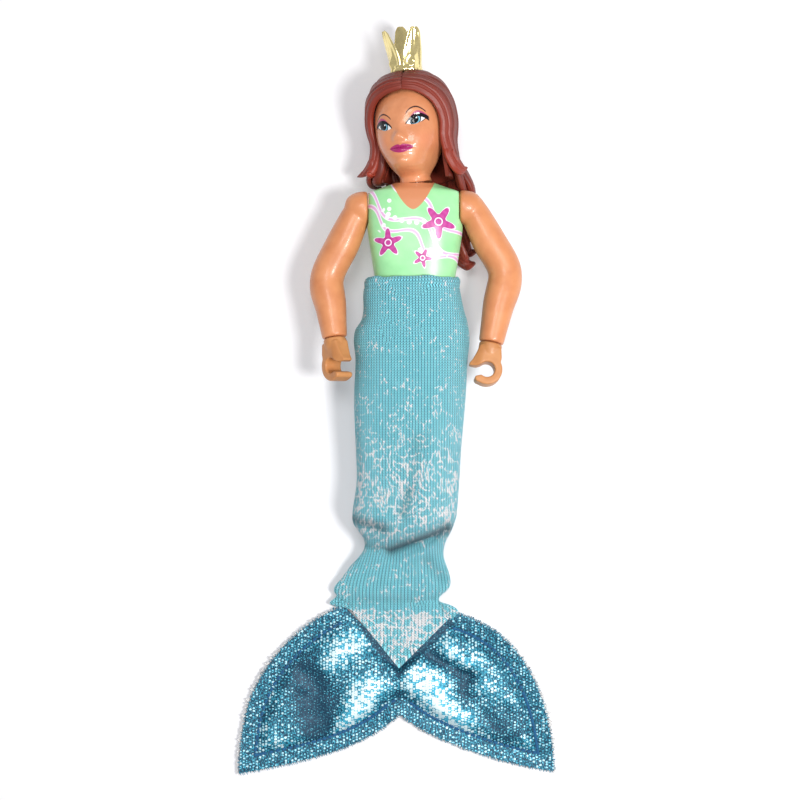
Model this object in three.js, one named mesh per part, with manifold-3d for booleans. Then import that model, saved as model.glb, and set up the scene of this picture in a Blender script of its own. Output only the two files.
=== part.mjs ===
// A mermaid doll that lies on its back: a jointed plastic doll in a knitted tail with a fabric fin.
// Millimetres. +Y runs from the fin to the head, +Z is the doll's front, +X is the doll's left.
// Until the last lines, Y = 0 is the hip axis, X = 0 the torso's middle and Z = 0 the floor.

import * as THREE from 'three';
import { mergeVertices } from 'three/addons/utils/BufferGeometryUtils.js';
import Module from 'manifold-3d';

const wasm = await Module();
wasm.setup();

// Clearances
const gap = 0.3;
const pinGap = 0.3;

// Past every side of the doll, for a shape that only cuts
const beyond = 60;

// Torso
const torsoLength = 35.9;
const shoulderDrop = 4.9;
const chestHalfWidth = 11.35;
const chestFront = 7.2;
const chestBack = 6.0;
const waistHalfWidth = 9.5;
const waistFront = 6.2;
const waistBack = 5.8;
const torsoWall = 1.4;
const torsoRoof = 1.8;
const torsoBottom = 6.8;
const armholeDepth = 1.35;
const armholeHalfWidth = chestHalfWidth - armholeDepth;

// Neck and head
const neckRadius = 3.8;
const neckPegRadius = 2.3;
const neckFlangeRadius = 3.4;
const neckFlangeThickness = 1.2;
const headHeight = 23.6;
const faceHalfWidth = 7.7;
const faceDepth = 9.4;
const skullDepth = 7.2;
const headTurn = -21;
const headTilt = 5;

// Hair
const hairOnTop = 2.4;
const hairAtSides = 3.4;
const hairThickness = 2.0;
const hairLength = 20.2;
const hairTop = headHeight + hairOnTop;
const hairHalfWidth = faceHalfWidth + hairAtSides;

// The long hair turns with the head, so its inner face clears the torso's back corners.
const cornerShare = 0.76;
const hairInnerRadius = Math.hypot(cornerShare * chestHalfWidth, chestBack);

// The doll lies on its long hair.
const bodyHeight = hairInnerRadius + hairThickness;

// Crown
const crownHeight = 10.3;
const crownBaseRadius = 3.7;
const crownTipRadius = 4.7;
const crownWall = 0.9;
const crownFlangeRadius = 4.1;
const crownFlangeThickness = 1.0;
const crownPinRadius = 1.1;
const crownPinLength = 2.0;
const crownPoints = 4;

// Arms and hands
const shoulderRadius = 4.6;
const shoulderReach = 8.2;
const upperArmRadius = 3.9;
const elbowRadius = 4.0;
const wristRadius = 2.95;
const shoulderPegRadius = 2.0;
const shoulderFlangeRadius = 2.8;
const shoulderFlangeThickness = 1.0;
const handPegRadius = 1.1;
const handPegLength = 3.2;
const gripRadius = 3.6;
const gripBore = 1.75;
const gripDrop = 7.0;
const gripDepth = 4.6;
const gripEdge = 0.5;
const palmWidth = 5.0;
const palmLength = 6.2;
const cuffRadius = 2.7;
const shoulderRun = 3.7;
const upperArmLeft = [7.6, -16.1, -0.9];
const forearmLeft = [-3.45, -16.8, 2.8];
const upperArmRight = [-7.1, -17.4, -0.9];
const forearmRight = [1.9, -14.3, 2.6];
const handTurnLeft = 0;
const handTurnRight = 52;

// Pelvis and legs
const hipDrop = 1.2;
const hipHeight = bodyHeight - hipDrop;
const pelvisHalfWidth = 3.1;
const hipLeanRoom = 0.4;
const pelvisRadius = 5.4;
const pelvisPlugLength = 4.5;
const hipPinRadius = 1.1;
const hipPinReach = 5.1;
const hipRadius = 5.6;
const thighWidth = 7.0;
const thighFront = 6.2;
const thighBack = 6.0;
const thighLength = 24.0;
const shinLength = 24.2;
const legDrop = 0.055;
const legLean = 0.05;
const kneeHalfWidth = 4.5;
const kneeRadius = 3.4;
const kneeTongueWidth = 3.0;
const kneePinRadius = 0.9;
const kneeMitre = 32;
const calfHalfWidth = 4.3;
const calfHalfDepth = 4.9;
const ankleHalfWidth = 2.7;
const ankleHalfDepth = 3.0;
const footLength = 11.5;
const footThickness = 3.6;
const footPitch = 40;

// Knitted tail
const knitWall = 0.9;
const waistbandTop = 13.4;
const waistbandLength = 3.0;
const waistSlack = 1.7;
const hipSlack = 1.8;
const hipFrontSlack = 1.9;
const kneeSlack = 2.0;
const upperCut = -13.0;
const middleCutAboveSole = 12.7;
const tubeLength = 17.7;
const pocketLength = 14.3;
const knitPointAcross = -3.8;
const knitPointDrop = 32.3;
const knitCornerLeftAcross = 8.4;
const knitCornerLeftDrop = 20.2;
const knitCornerRightAcross = -15.8;
const knitCornerRightDrop = 17.6;
const toeHeight = 5.6;
const toeHalfWidth = 9.9;
const toeReach = 4.6;
const flareHeight = 2.9;
const flareHalfWidth = 14.05;
const flareReach = 2.4;
const flatHalfWidth = 13.0;
const flatKnit = 1.9;

// Fin
const finLayer = 0.7;
const finLiningLayer = 0.5;
const finNotchAcross = -3.55;
const finNotchDrop = 43.1;
const finTipRightAcross = -42.45;
const finTipRightDrop = 57.7;
const finTipLeftAcross = 33.65;
const finTipLeftDrop = 57.1;

// Smallest floor clearance of the cloth that isn't the fin
const clothLift = 0.3;

const sides = 30;

// Roundness of the tail's section: 2 is an oval, more is squarer
const tailPower = 2.5;

const skin = new THREE.MeshStandardMaterial({ color: 0xd68c5f, roughness: 0.45, metalness: 0 });
const handSkin = new THREE.MeshStandardMaterial({ color: 0xcd8c50, roughness: 0.5, metalness: 0 });
const hairPlastic = new THREE.MeshStandardMaterial({ color: 0x8c3c32, roughness: 0.55, metalness: 0 });
const mintPlastic = new THREE.MeshStandardMaterial({ color: 0xa5eba5, roughness: 0.4, metalness: 0 });
const goldPlating = new THREE.MeshStandardMaterial({ color: 0xd9cf9a, roughness: 0.2, metalness: 1 });
const pinSteel = new THREE.MeshStandardMaterial({ color: 0xb4b6ba, roughness: 0.35, metalness: 1 });
const knitCloth = new THREE.MeshStandardMaterial({ color: 0x62c1d8, roughness: 0.9, metalness: 0 });
const lameCloth = new THREE.MeshStandardMaterial({ color: 0x2f8fb4, roughness: 0.35, metalness: 0.6 });
const liningCloth = new THREE.MeshStandardMaterial({ color: 0xe6e8ea, roughness: 0.95, metalness: 0 });

// Geometry helpers

function signedVolume(geometry) {
  const points = geometry.attributes.position;
  const index = geometry.index;
  const a = new THREE.Vector3();
  const b = new THREE.Vector3();
  const c = new THREE.Vector3();
  let volume = 0;
  for (let i = 0; i < index.count; i += 3) {
    a.fromBufferAttribute(points, index.getX(i));
    b.fromBufferAttribute(points, index.getX(i + 1));
    c.fromBufferAttribute(points, index.getX(i + 2));
    volume += a.dot(b.cross(c)) / 6;
  }
  return volume;
}

function facingOut(geometry) {
  if (signedVolume(geometry) < 0) {
    const index = geometry.index.array;
    for (let i = 0; i < index.length; i += 3) {
      [index[i], index[i + 1]] = [index[i + 1], index[i]];
    }
  }
  return geometry;
}

function fromTriangles(points, triangles) {
  const geometry = new THREE.BufferGeometry();
  geometry.setAttribute('position', new THREE.Float32BufferAttribute(points.flatMap((p) => p.toArray()), 3));
  geometry.setIndex(triangles.flat());
  return facingOut(geometry);
}

// Joins each ring of points to the next; the two end rings are closed by a fan round their middle.
function loft(rings) {
  const count = rings[0].length;
  const points = rings.flat();
  const triangles = [];
  for (let r = 0; r + 1 < rings.length; r += 1) {
    for (let i = 0; i < count; i += 1) {
      const next = (i + 1) % count;
      triangles.push([r * count + i, r * count + next, (r + 1) * count + i]);
      triangles.push([r * count + next, (r + 1) * count + next, (r + 1) * count + i]);
    }
  }
  const first = points.push(middleOf(rings[0])) - 1;
  const last = points.push(middleOf(rings[rings.length - 1])) - 1;
  const end = (rings.length - 1) * count;
  for (let i = 0; i < count; i += 1) {
    const next = (i + 1) % count;
    triangles.push([first, next, i]);
    triangles.push([last, end + i, end + next]);
  }
  return fromTriangles(points, triangles);
}

// A tube with a wall: the rings run down the outside and back up the inside, the last joined to the first.
function hollowLoft(rings) {
  const count = rings[0].length;
  const triangles = [];
  for (let r = 0; r < rings.length; r += 1) {
    const here = r * count;
    const there = ((r + 1) % rings.length) * count;
    for (let i = 0; i < count; i += 1) {
      const next = (i + 1) % count;
      triangles.push([here + i, here + next, there + i]);
      triangles.push([here + next, there + next, there + i]);
    }
  }
  return fromTriangles(rings.flat(), triangles);
}

function middleOf(ring) {
  const middle = new THREE.Vector3();
  ring.forEach((point) => middle.add(point));
  return middle.divideScalar(ring.length);
}

// A level ring at height y: an oval with its own reach to the front and to the back.
function oval(y, x, z, halfWidth, front, back, power = 2, count = sides) {
  const ring = [];
  for (let i = 0; i < count; i += 1) {
    const angle = (2 * Math.PI * i) / count;
    const across = Math.cos(angle);
    const along = Math.sin(angle);
    const reach = along > 0 ? front : back;
    ring.push(new THREE.Vector3(
      x + halfWidth * Math.sign(across) * Math.abs(across) ** (2 / power),
      y,
      z + reach * Math.sign(along) * Math.abs(along) ** (2 / power),
    ));
  }
  return ring;
}

// Round rings along a path of [x, y, z, radius] stations, each square to the path.
function limb(stations, count = 16) {
  const spots = stations.map((s) => new THREE.Vector3(s[0], s[1], s[2]));
  const front = new THREE.Vector3(0, 0, 1);
  const rings = stations.map((station, i) => {
    const before = spots[Math.max(i - 1, 0)];
    const after = spots[Math.min(i + 1, spots.length - 1)];
    const along = after.clone().sub(before).normalize();
    const across = along.clone().cross(front).normalize();
    const up = across.clone().cross(along);
    const ring = [];
    for (let k = 0; k < count; k += 1) {
      const angle = (2 * Math.PI * k) / count;
      ring.push(spots[i].clone()
        .addScaledVector(across, station[3] * Math.cos(angle))
        .addScaledVector(up, station[3] * Math.sin(angle)));
    }
    return ring;
  });
  return loft(rings);
}

// Reads a table of [y, value, value, ...] rows, with a smooth curve between the rows.
function readTable(rows, y) {
  let low = 0;
  while (low < rows.length - 2 && rows[low + 1][0] > y) {
    low += 1;
  }
  const [a, b] = [rows[low], rows[low + 1]];
  const before = rows[Math.max(low - 1, 0)];
  const after = rows[Math.min(low + 2, rows.length - 1)];
  const span = b[0] - a[0];
  const t = Math.min(Math.max((y - a[0]) / span, 0), 1);
  return a.slice(1).map((start, k) => {
    const end = b[k + 1];
    const slopeStart = before === a ? end - start : ((end - before[k + 1]) / (b[0] - before[0])) * span;
    const slopeEnd = after === b ? end - start : ((after[k + 1] - start) / (after[0] - a[0])) * span;
    return start * (2 * t ** 3 - 3 * t ** 2 + 1) + slopeStart * (t ** 3 - 2 * t ** 2 + t)
      + end * (3 * t ** 2 - 2 * t ** 3) + slopeEnd * (t ** 3 - t ** 2);
  });
}

function solidOf(geometry) {
  const bare = geometry.clone();
  bare.deleteAttribute('normal');
  bare.deleteAttribute('uv');
  const merged = mergeVertices(bare, 1e-4);
  const corners = merged.index.array;
  const kept = [];
  for (let i = 0; i < corners.length; i += 3) {
    const [a, b, c] = [corners[i], corners[i + 1], corners[i + 2]];
    if (a !== b && b !== c && c !== a) {
      kept.push(a, b, c);
    }
  }
  const mesh = new wasm.Mesh({
    numProp: 3,
    vertProperties: new Float32Array(merged.attributes.position.array),
    triVerts: new Uint32Array(kept),
  });
  return new wasm.Manifold(mesh);
}

function geometryOf(solid) {
  const mesh = solid.getMesh();
  const geometry = new THREE.BufferGeometry();
  geometry.setAttribute('position', new THREE.Float32BufferAttribute(mesh.vertProperties, 3));
  geometry.setIndex(Array.from(mesh.triVerts));
  return geometry;
}

function box(low, high) {
  const geometry = new THREE.BoxGeometry(high[0] - low[0], high[1] - low[1], high[2] - low[2]);
  geometry.translate((low[0] + high[0]) / 2, (low[1] + high[1]) / 2, (low[2] + high[2]) / 2);
  return geometry;
}

// A turned solid about the Y axis from [radius, y] points that start and end on the axis.
function turned(profile, count = 24) {
  return new THREE.LatheGeometry(profile.map((p) => new THREE.Vector2(p[0], p[1])), count);
}

// The same about the X axis: each point is [radius, x].
function turnedAcross(profile, count = 24) {
  return turned(profile, count).rotateZ(-Math.PI / 2);
}

function rod(radius, from, to, count = 12) {
  return turned([[0, from], [radius, from], [radius, to], [0, to]], count);
}

function rodAcross(radius, from, to, count = 12) {
  return turnedAcross([[0, from], [radius, from], [radius, to], [0, to]], count);
}

function bump(distance, width) {
  return Math.exp(-((distance / width) ** 2));
}

const radians = THREE.MathUtils.degToRad;

// Torso

const neckSeat = torsoLength;
const neckPegLength = torsoRoof + 2 * gap;
const shoulderPegLength = torsoWall + 2 * gap;
const shoulderY = torsoLength - shoulderDrop;

// Half width, front reach and back reach of the torso at height y.
function torsoProfile(y) {
  return readTable([
    [torsoLength, neckRadius + 0.7, neckRadius + 0.3, neckRadius + 0.3],
    [torsoLength - 1.1, 7.4, 4.9, 4.9],
    [torsoLength - 2.4, chestHalfWidth - 0.7, 5.6, 5.5],
    [shoulderY, chestHalfWidth, chestFront - 0.8, chestBack],
    [shoulderY - 6, chestHalfWidth - 0.1, chestFront, chestBack],
    [waistbandTop + 3, waistHalfWidth + 0.5, waistFront + 0.3, waistBack],
    [waistbandTop - 1, waistHalfWidth, waistFront, waistBack],
    [torsoBottom, waistHalfWidth + 0.9, waistFront + 0.4, waistBack + 0.4],
  ], y);
}

function torsoSolid(inset) {
  const heights = [];
  for (let y = torsoLength; y > torsoBottom + 1; y -= y > shoulderY + 1 ? 1.2 : 4.2) {
    heights.push(y);
  }
  heights.push(torsoBottom);
  return loft(heights.map((y) => {
    const [halfWidth, front, back] = torsoProfile(y);
    const level = inset && y > torsoLength - inset ? torsoLength - inset : y;
    return oval(level, 0, bodyHeight, halfWidth - inset, front - inset, back - inset, 2.5);
  }));
}

const neckHole = rod(neckPegRadius + gap, -beyond, beyond).translate(0, torsoLength, bodyHeight);
const armHoles = rodAcross(shoulderPegRadius + gap, -beyond, beyond).translate(0, shoulderY, bodyHeight);
const armRecesses = [1, -1].map((side) => rodAcross(
  shoulderRadius + 2 * gap, armholeHalfWidth, beyond, 20,
).scale(side, 1, 1).translate(0, shoulderY, bodyHeight));

function facingOutMerged(geometry) {
  return facingOut(geometry.index ? geometry : mergeVertices(geometry));
}

function torsoShell() {
  let shell = solidOf(torsoSolid(0));
  const roomTop = torsoLength - torsoRoof;
  const room = solidOf(torsoSolid(torsoWall)).subtract(
    solidOf(box([-beyond, roomTop, -beyond], [beyond, beyond, beyond])),
  );
  const below = solidOf(box([-beyond, -beyond, -beyond], [beyond, torsoBottom + 0.01, beyond]));
  armRecesses.forEach((recess) => {
    shell = shell.subtract(solidOf(facingOutMerged(recess)));
  });
  const wallReach = shoulderRadius + 2.4;
  const armWalls = [1, -1].map((side) => solidOf(box(
    [side > 0 ? armholeHalfWidth - torsoWall : -beyond, shoulderY - wallReach, -beyond],
    [side > 0 ? beyond : torsoWall - armholeHalfWidth, shoulderY + wallReach, beyond],
  )));
  const openRoom = room.subtract(armWalls[0]).subtract(armWalls[1]);
  return shell.subtract(openRoom).subtract(below)
    .subtract(solidOf(facingOutMerged(neckHole)))
    .subtract(solidOf(facingOutMerged(armHoles)));
}

const shell = torsoShell();
const frontSpace = solidOf(box([-beyond, -beyond, bodyHeight + gap / 2], [beyond, beyond, beyond]));
const backSpace = solidOf(box([-beyond, -beyond, -beyond], [beyond, beyond, bodyHeight - gap / 2]));
const torsoFront = geometryOf(shell.intersect(frontSpace));
const torsoBack = geometryOf(shell.intersect(backSpace));

// Head and neck, seen in a frame with its origin on the neck axis at the torso's top

const headRows = [
  [headHeight, 0.4, 0.4, 0.4],
  [headHeight - 0.6, 3.6, 3.4, 3.2],
  [headHeight - 2.6, 6.0, 6.6, 5.6],
  [headHeight - 6.0, 7.4, faceDepth - 1.0, 7.0],
  [headHeight - 10.5, faceHalfWidth, faceDepth - 0.3, skullDepth],
  [headHeight - 14.5, 7.2, faceDepth - 0.1, 6.6],
  [headHeight - 18.0, 5.9, faceDepth, 5.4],
  [headHeight - 20.2, 4.7, faceDepth - 0.5, 4.4],
  [headHeight - 21.4, 3.9, faceDepth - 2.2, 3.9],
];
const eyeY = headHeight - 11.2;
const noseY = headHeight - 14.4;
const mouthY = headHeight - 16.9;
const chinY = headHeight - 20.2;

function headSolid(grow) {
  const heights = [headHeight];
  for (let y = headHeight - 0.6; y > headHeight - 21.4; y -= 1.55) {
    heights.push(y);
  }
  heights.push(headHeight - 21.4);
  return loft(heights.map((y, k) => {
    const [halfWidth, front, back] = readTable(headRows, y);
    const level = grow && k === 0 ? y + grow : y;
    const ring = oval(level, 0, 0, halfWidth + grow, front + grow, back + grow, 2.2, 28);
    if (!grow) {
      ring.forEach((point) => {
        if (point.z > 4) {
          point.z += 1.7 * bump(point.x, 1.1) * bump(y - noseY, 1.5)
            + 0.5 * bump(point.x, 2.2) * bump(y - mouthY, 1.1)
            + 0.6 * bump(point.x, 2.2) * bump(y - chinY, 1.6)
            - 0.6 * bump(Math.abs(point.x) - 3.2, 1.8) * bump(y - eyeY, 1.8);
        }
      });
    }
    return ring;
  }));
}

const tilt = new THREE.Matrix4().makeTranslation(0, 2, 0)
  .multiply(new THREE.Matrix4().makeRotationZ(radians(headTilt)))
  .multiply(new THREE.Matrix4().makeTranslation(0, -2, 0));

const neckSolid = solidOf(turned([
  [0, 6],
  [neckRadius - 0.4, 6],
  [neckRadius - 0.4, 3.0],
  [neckRadius, gap],
  [neckPegRadius, gap],
  [neckPegRadius, gap - neckPegLength],
  [neckFlangeRadius, gap - neckPegLength],
  [neckFlangeRadius, gap - neckPegLength - neckFlangeThickness],
  [0, gap - neckPegLength - neckFlangeThickness],
].reverse(), 24));
const head = geometryOf(solidOf(headSolid(0).applyMatrix4(tilt)).add(neckSolid));

// Hair, in the same frame

const hairRows = [
  [hairTop, 4.6, 4.6, 4.6],
  [hairTop - 0.9, 7.0, 7.2, 7.2],
  [hairTop - 3.0, 9.3, 9.2, 9.6],
  [hairTop - 6.5, 10.6, 10.4, 11.4],
  [hairTop - 11, hairHalfWidth, 9.6, 12.0],
  [hairTop - 16, 11.0, 7.6, 12.2],
  [hairTop - 20, 10.8, 5.6, 12.2],
  [hairTop - 24, 10.9, 3.6, 12.3],
];

function hairHelmet() {
  const heights = [];
  for (let y = hairTop; y > hairTop - 6; y -= 1.5) {
    heights.push(y);
  }
  for (let y = hairTop - 6; y > hairTop - 24; y -= 3) {
    heights.push(y);
  }
  heights.push(hairTop - 24);
  return loft(heights.map((y) => {
    const [halfWidth, front, back] = readTable(hairRows, y);
    return oval(y, 0, 0, halfWidth, front, back, 2.1, 28);
  }));
}

// The long hair hangs round the neck axis behind the torso; its angles are counted from straight back.
function hairCurtain() {
  const rows = [
    [6, -38, 30, 0, 0.1],
    [1, -36, 40, 0, 0.45],
    [-3, -34, 25, 0, 0],
    [-8, -32, 28, 0, 0],
    [-13, -30, 43, 0, 0.4],
    [-17, -26, 45, 0, 0.45],
    [-hairLength, -14, 36, 0.4, 0.2],
  ];
  const rings = [];
  for (let y = 6; y > -hairLength; y -= 2.9) {
    rings.push(y);
  }
  rings.push(-hairLength);
  return loft(rings.map((y) => {
    const [from, to, lift, flare] = readTable(rows, y);
    const outer = bodyHeight - Math.max(lift, 0);
    const inner = y > 0 ? neckRadius + 2 : outer - hairThickness;
    const ring = [];
    const steps = 8;
    for (let i = 0; i <= steps; i += 1) {
      const angle = radians(from + ((to - from) * i) / steps);
      const curl = 1 + flare * bump(i / steps - 1, 0.25);
      ring.push(new THREE.Vector3(Math.sin(angle) * outer * curl, y, -Math.cos(angle) * outer));
    }
    for (let i = steps; i >= 0; i -= 1) {
      const angle = radians(from + ((to - from) * i) / steps);
      const curl = 1 + flare * bump(i / steps - 1, 0.25);
      ring.push(new THREE.Vector3(Math.sin(angle) * inner * curl, y, -Math.cos(angle) * inner));
    }
    return ring;
  }));
}

function faceWindow() {
  const outline = new THREE.Shape();
  const half = faceHalfWidth + 0.7;
  const parting = headHeight - 2.6;
  outline.moveTo(-half - 0.4, -6);
  outline.lineTo(-half, parting - 12);
  outline.bezierCurveTo(-half, parting - 6, -half * 0.7, parting - 1.6, 0.2, parting);
  outline.bezierCurveTo(half * 0.7, parting - 1.6, half, parting - 6, half, parting - 12);
  outline.lineTo(half + 0.4, -6);
  outline.closePath();
  return new THREE.ExtrudeGeometry(outline, { depth: 20, bevelEnabled: false, curveSegments: 8 })
    .translate(0, 0, 1.5);
}

const crownSeat = hairTop - 0.2;
const crownHole = rod(crownPinRadius + pinGap, crownSeat - crownPinLength - gap, crownSeat + 1);
const crownPlace = rod(crownFlangeRadius + 1.2, crownSeat, beyond, 24);
const torsoRoom = turned([
  [0, -beyond],
  [hairInnerRadius, -beyond],
  [hairInnerRadius, -1.6],
  [neckRadius + 1.6, 0.6],
  [neckRadius + 1.0, 5],
  [0, 5],
], 36);

const helmet = solidOf(hairHelmet().applyMatrix4(tilt))
  .subtract(solidOf(facingOutMerged(faceWindow().applyMatrix4(tilt))));
const hairSolid = helmet.add(solidOf(hairCurtain()))
  .subtract(solidOf(headSolid(gap + 0.05).applyMatrix4(tilt)))
  .subtract(solidOf(facingOutMerged(torsoRoom)))
  .subtract(solidOf(facingOutMerged(crownHole.applyMatrix4(tilt))))
  .subtract(solidOf(facingOutMerged(crownPlace.applyMatrix4(tilt))));
const hair = geometryOf(hairSolid);

// Crown, with its origin on the seat in the hair

function crownGeometry() {
  const base = gap;
  const wallTop = base + crownHeight - 0.3;
  const rise = crownTipRadius - crownBaseRadius;
  const cup = solidOf(turned([
    [0, gap - crownPinLength],
    [crownPinRadius, gap - crownPinLength],
    [crownPinRadius, base],
    [crownFlangeRadius, base],
    [crownFlangeRadius, base + crownFlangeThickness],
    [crownBaseRadius, base + crownFlangeThickness + 0.2],
    [crownBaseRadius + rise * 0.25, base + crownHeight * 0.5],
    [crownTipRadius, wallTop],
    [crownTipRadius - crownWall, wallTop],
    [crownBaseRadius + rise * 0.25 - crownWall, base + crownHeight * 0.5],
    [crownBaseRadius - crownWall, base + crownFlangeThickness + 0.6],
    [0, base + crownFlangeThickness + 0.6],
  ], 32));
  let crown = cup;
  const slotWidth = Math.PI / crownPoints;
  for (let k = 0; k < crownPoints; k += 1) {
    const notch = new THREE.Shape();
    const half = crownTipRadius * Math.sin(slotWidth) * 0.78;
    notch.moveTo(-0.25, base + 4.4);
    notch.lineTo(0.25, base + 4.4);
    notch.lineTo(half, base + crownHeight * 0.8);
    notch.lineTo(half * 1.35, base + crownHeight + 1);
    notch.lineTo(-half * 1.35, base + crownHeight + 1);
    notch.lineTo(-half, base + crownHeight * 0.8);
    notch.closePath();
    const cutter = new THREE.ExtrudeGeometry(notch, { depth: 9, bevelEnabled: false })
      .translate(0, 0, 0.4)
      .rotateY((k * 2 * Math.PI) / crownPoints);
    crown = crown.subtract(solidOf(facingOutMerged(cutter)));
  }
  return geometryOf(crown);
}

// Arms: side is 1 for the doll's left arm and -1 for its right arm

function shoulderPoint(side) {
  return [side * (armholeHalfWidth + shoulderRun), shoulderY - 0.1, bodyHeight];
}

function armGeometry(side, elbow, wrist) {
  const inner = armholeHalfWidth + gap;
  const cap = solidOf(facingOutMerged(turnedAcross([
    [0, inner - shoulderPegLength - shoulderFlangeThickness],
    [shoulderFlangeRadius, inner - shoulderPegLength - shoulderFlangeThickness],
    [shoulderFlangeRadius, inner - shoulderPegLength],
    [shoulderPegRadius, inner - shoulderPegLength],
    [shoulderPegRadius, inner],
    [shoulderRadius - 0.5, inner],
    [shoulderRadius, inner + 0.6],
    [shoulderRadius, inner + shoulderReach * 0.4],
    [shoulderRadius - 0.9, inner + shoulderReach * 0.7],
    [shoulderRadius - 2.4, inner + shoulderReach * 0.93],
    [0, inner + shoulderReach],
  ], 22).scale(side, 1, 1)));
  const shoulder = shoulderPoint(side);
  const between = (a, b, share) => a.map((value, k) => value + (b[k] - value) * share);
  const path = [
    [...between(shoulder, elbow, 0.02), shoulderRadius - 0.8],
    [...between(shoulder, elbow, 0.3), upperArmRadius],
    [...between(shoulder, elbow, 0.7), upperArmRadius],
    [...elbow, elbowRadius],
    [...between(elbow, wrist, 0.28), elbowRadius - 0.1],
    [...between(elbow, wrist, 0.7), wristRadius + 0.25],
    [...wrist, wristRadius],
  ];
  const hole = solidOf(facingOutMerged(rod(handPegRadius + pinGap, -0.5, handPegLength + 2 * gap)
    .applyMatrix4(wristFrame(elbow, wrist))));
  return geometryOf(cap.translate([0, shoulderY, bodyHeight]).add(solidOf(limb(path))).subtract(hole));
}

// The frame of a wrist: its Y axis points up the forearm, its X axis to the doll's left.
function wristFrame(elbow, wrist) {
  const up = new THREE.Vector3(...elbow).sub(new THREE.Vector3(...wrist)).normalize();
  const front = new THREE.Vector3(0, 0, 1).addScaledVector(up, -up.z).normalize();
  const across = up.clone().cross(front);
  return new THREE.Matrix4().makeBasis(across, up, front).setPosition(...wrist);
}

// A hand with its C grip, for the doll's left wrist: the thumb side and the mouth face -X.
function handGeometry(side) {
  const middle = [palmWidth * 0.12, -gripDrop];
  const grip = new THREE.Shape();
  const at = (radius, degrees) => [
    middle[0] + radius * Math.cos(radians(degrees)),
    middle[1] + radius * Math.sin(radians(degrees)),
  ];
  grip.moveTo(-palmWidth / 2, -palmLength * 0.16);
  grip.lineTo(-palmWidth * 0.6, -palmLength * 0.58);
  grip.lineTo(-palmWidth * 0.8, -palmLength);
  grip.lineTo(...at(gripBore, 160));
  grip.absarc(middle[0], middle[1], gripBore, radians(160), radians(-132), true);
  grip.lineTo(...at(gripRadius, -128));
  grip.absarc(middle[0], middle[1], gripRadius, radians(-128), radians(38), false);
  grip.lineTo(palmWidth / 2, -palmLength * 0.16);
  grip.closePath();
  const plate = new THREE.ExtrudeGeometry(grip, {
    depth: gripDepth - 2 * gripEdge,
    bevelEnabled: true,
    bevelSize: -gripEdge * 0.8,
    bevelThickness: gripEdge,
    bevelSegments: 1,
    curveSegments: 7,
  }).translate(0, 0, gripEdge - gripDepth / 2);
  const wristEnd = turned([
    [0, -palmLength * 0.68],
    [cuffRadius * 0.67, -palmLength * 0.65],
    [cuffRadius * 0.96, -palmLength * 0.35],
    [cuffRadius, -gap],
    [handPegRadius, -gap],
    [handPegRadius, handPegLength],
    [0, handPegLength],
  ], 20);
  const hand = solidOf(facingOutMerged(plate)).add(solidOf(wristEnd));
  const geometry = geometryOf(hand);
  return side > 0 ? geometry : facingOut(geometry.scale(-1, 1, 1));
}

// Pelvis and legs, seen with the hip axis at Y = 0 and Z = 0

const kneeY = -thighLength;
const sole = kneeY - shinLength;
const kneeZ = -thighLength * legDrop;
const thighMiddle = pelvisHalfWidth + gap + hipLeanRoom + thighWidth / 2;
const hipPinHalfLength = pelvisHalfWidth + gap + hipPinReach;

function pelvisGeometry() {
  const block = solidOf(facingOutMerged(rodAcross(pelvisRadius, -pelvisHalfWidth, pelvisHalfWidth, 20)));
  const plugTop = torsoBottom + pelvisPlugLength;
  const rise = bodyHeight - hipHeight;
  const plug = solidOf(loft([torsoBottom - 1.6, torsoBottom + 0.6, plugTop].map((y) => oval(
    y, 0, rise, waistHalfWidth - torsoWall - 1.3, waistFront - torsoWall - 0.8, waistBack - torsoWall - 0.8, 2.5, 20,
  ))));
  const post = solidOf(box([-pelvisHalfWidth, 0, -3.6], [pelvisHalfWidth, torsoBottom, 3.6]));
  const hole = solidOf(facingOutMerged(rodAcross(hipPinRadius + pinGap, -beyond, beyond)));
  const clear = [1, -1].map((side) => solidOf(facingOutMerged(rodAcross(
    hipRadius + 3 * gap, pelvisHalfWidth + 0.01, beyond, 20,
  ).scale(side, 1, 1))));
  return geometryOf(block.add(post).add(plug).subtract(hole).subtract(clear[0]).subtract(clear[1]));
}

function legRing(x, y, z, halfWidth, front, back) {
  return oval(y, x + y * legLean, z + y * legDrop, halfWidth, front, back, 2.2, 16);
}

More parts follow.
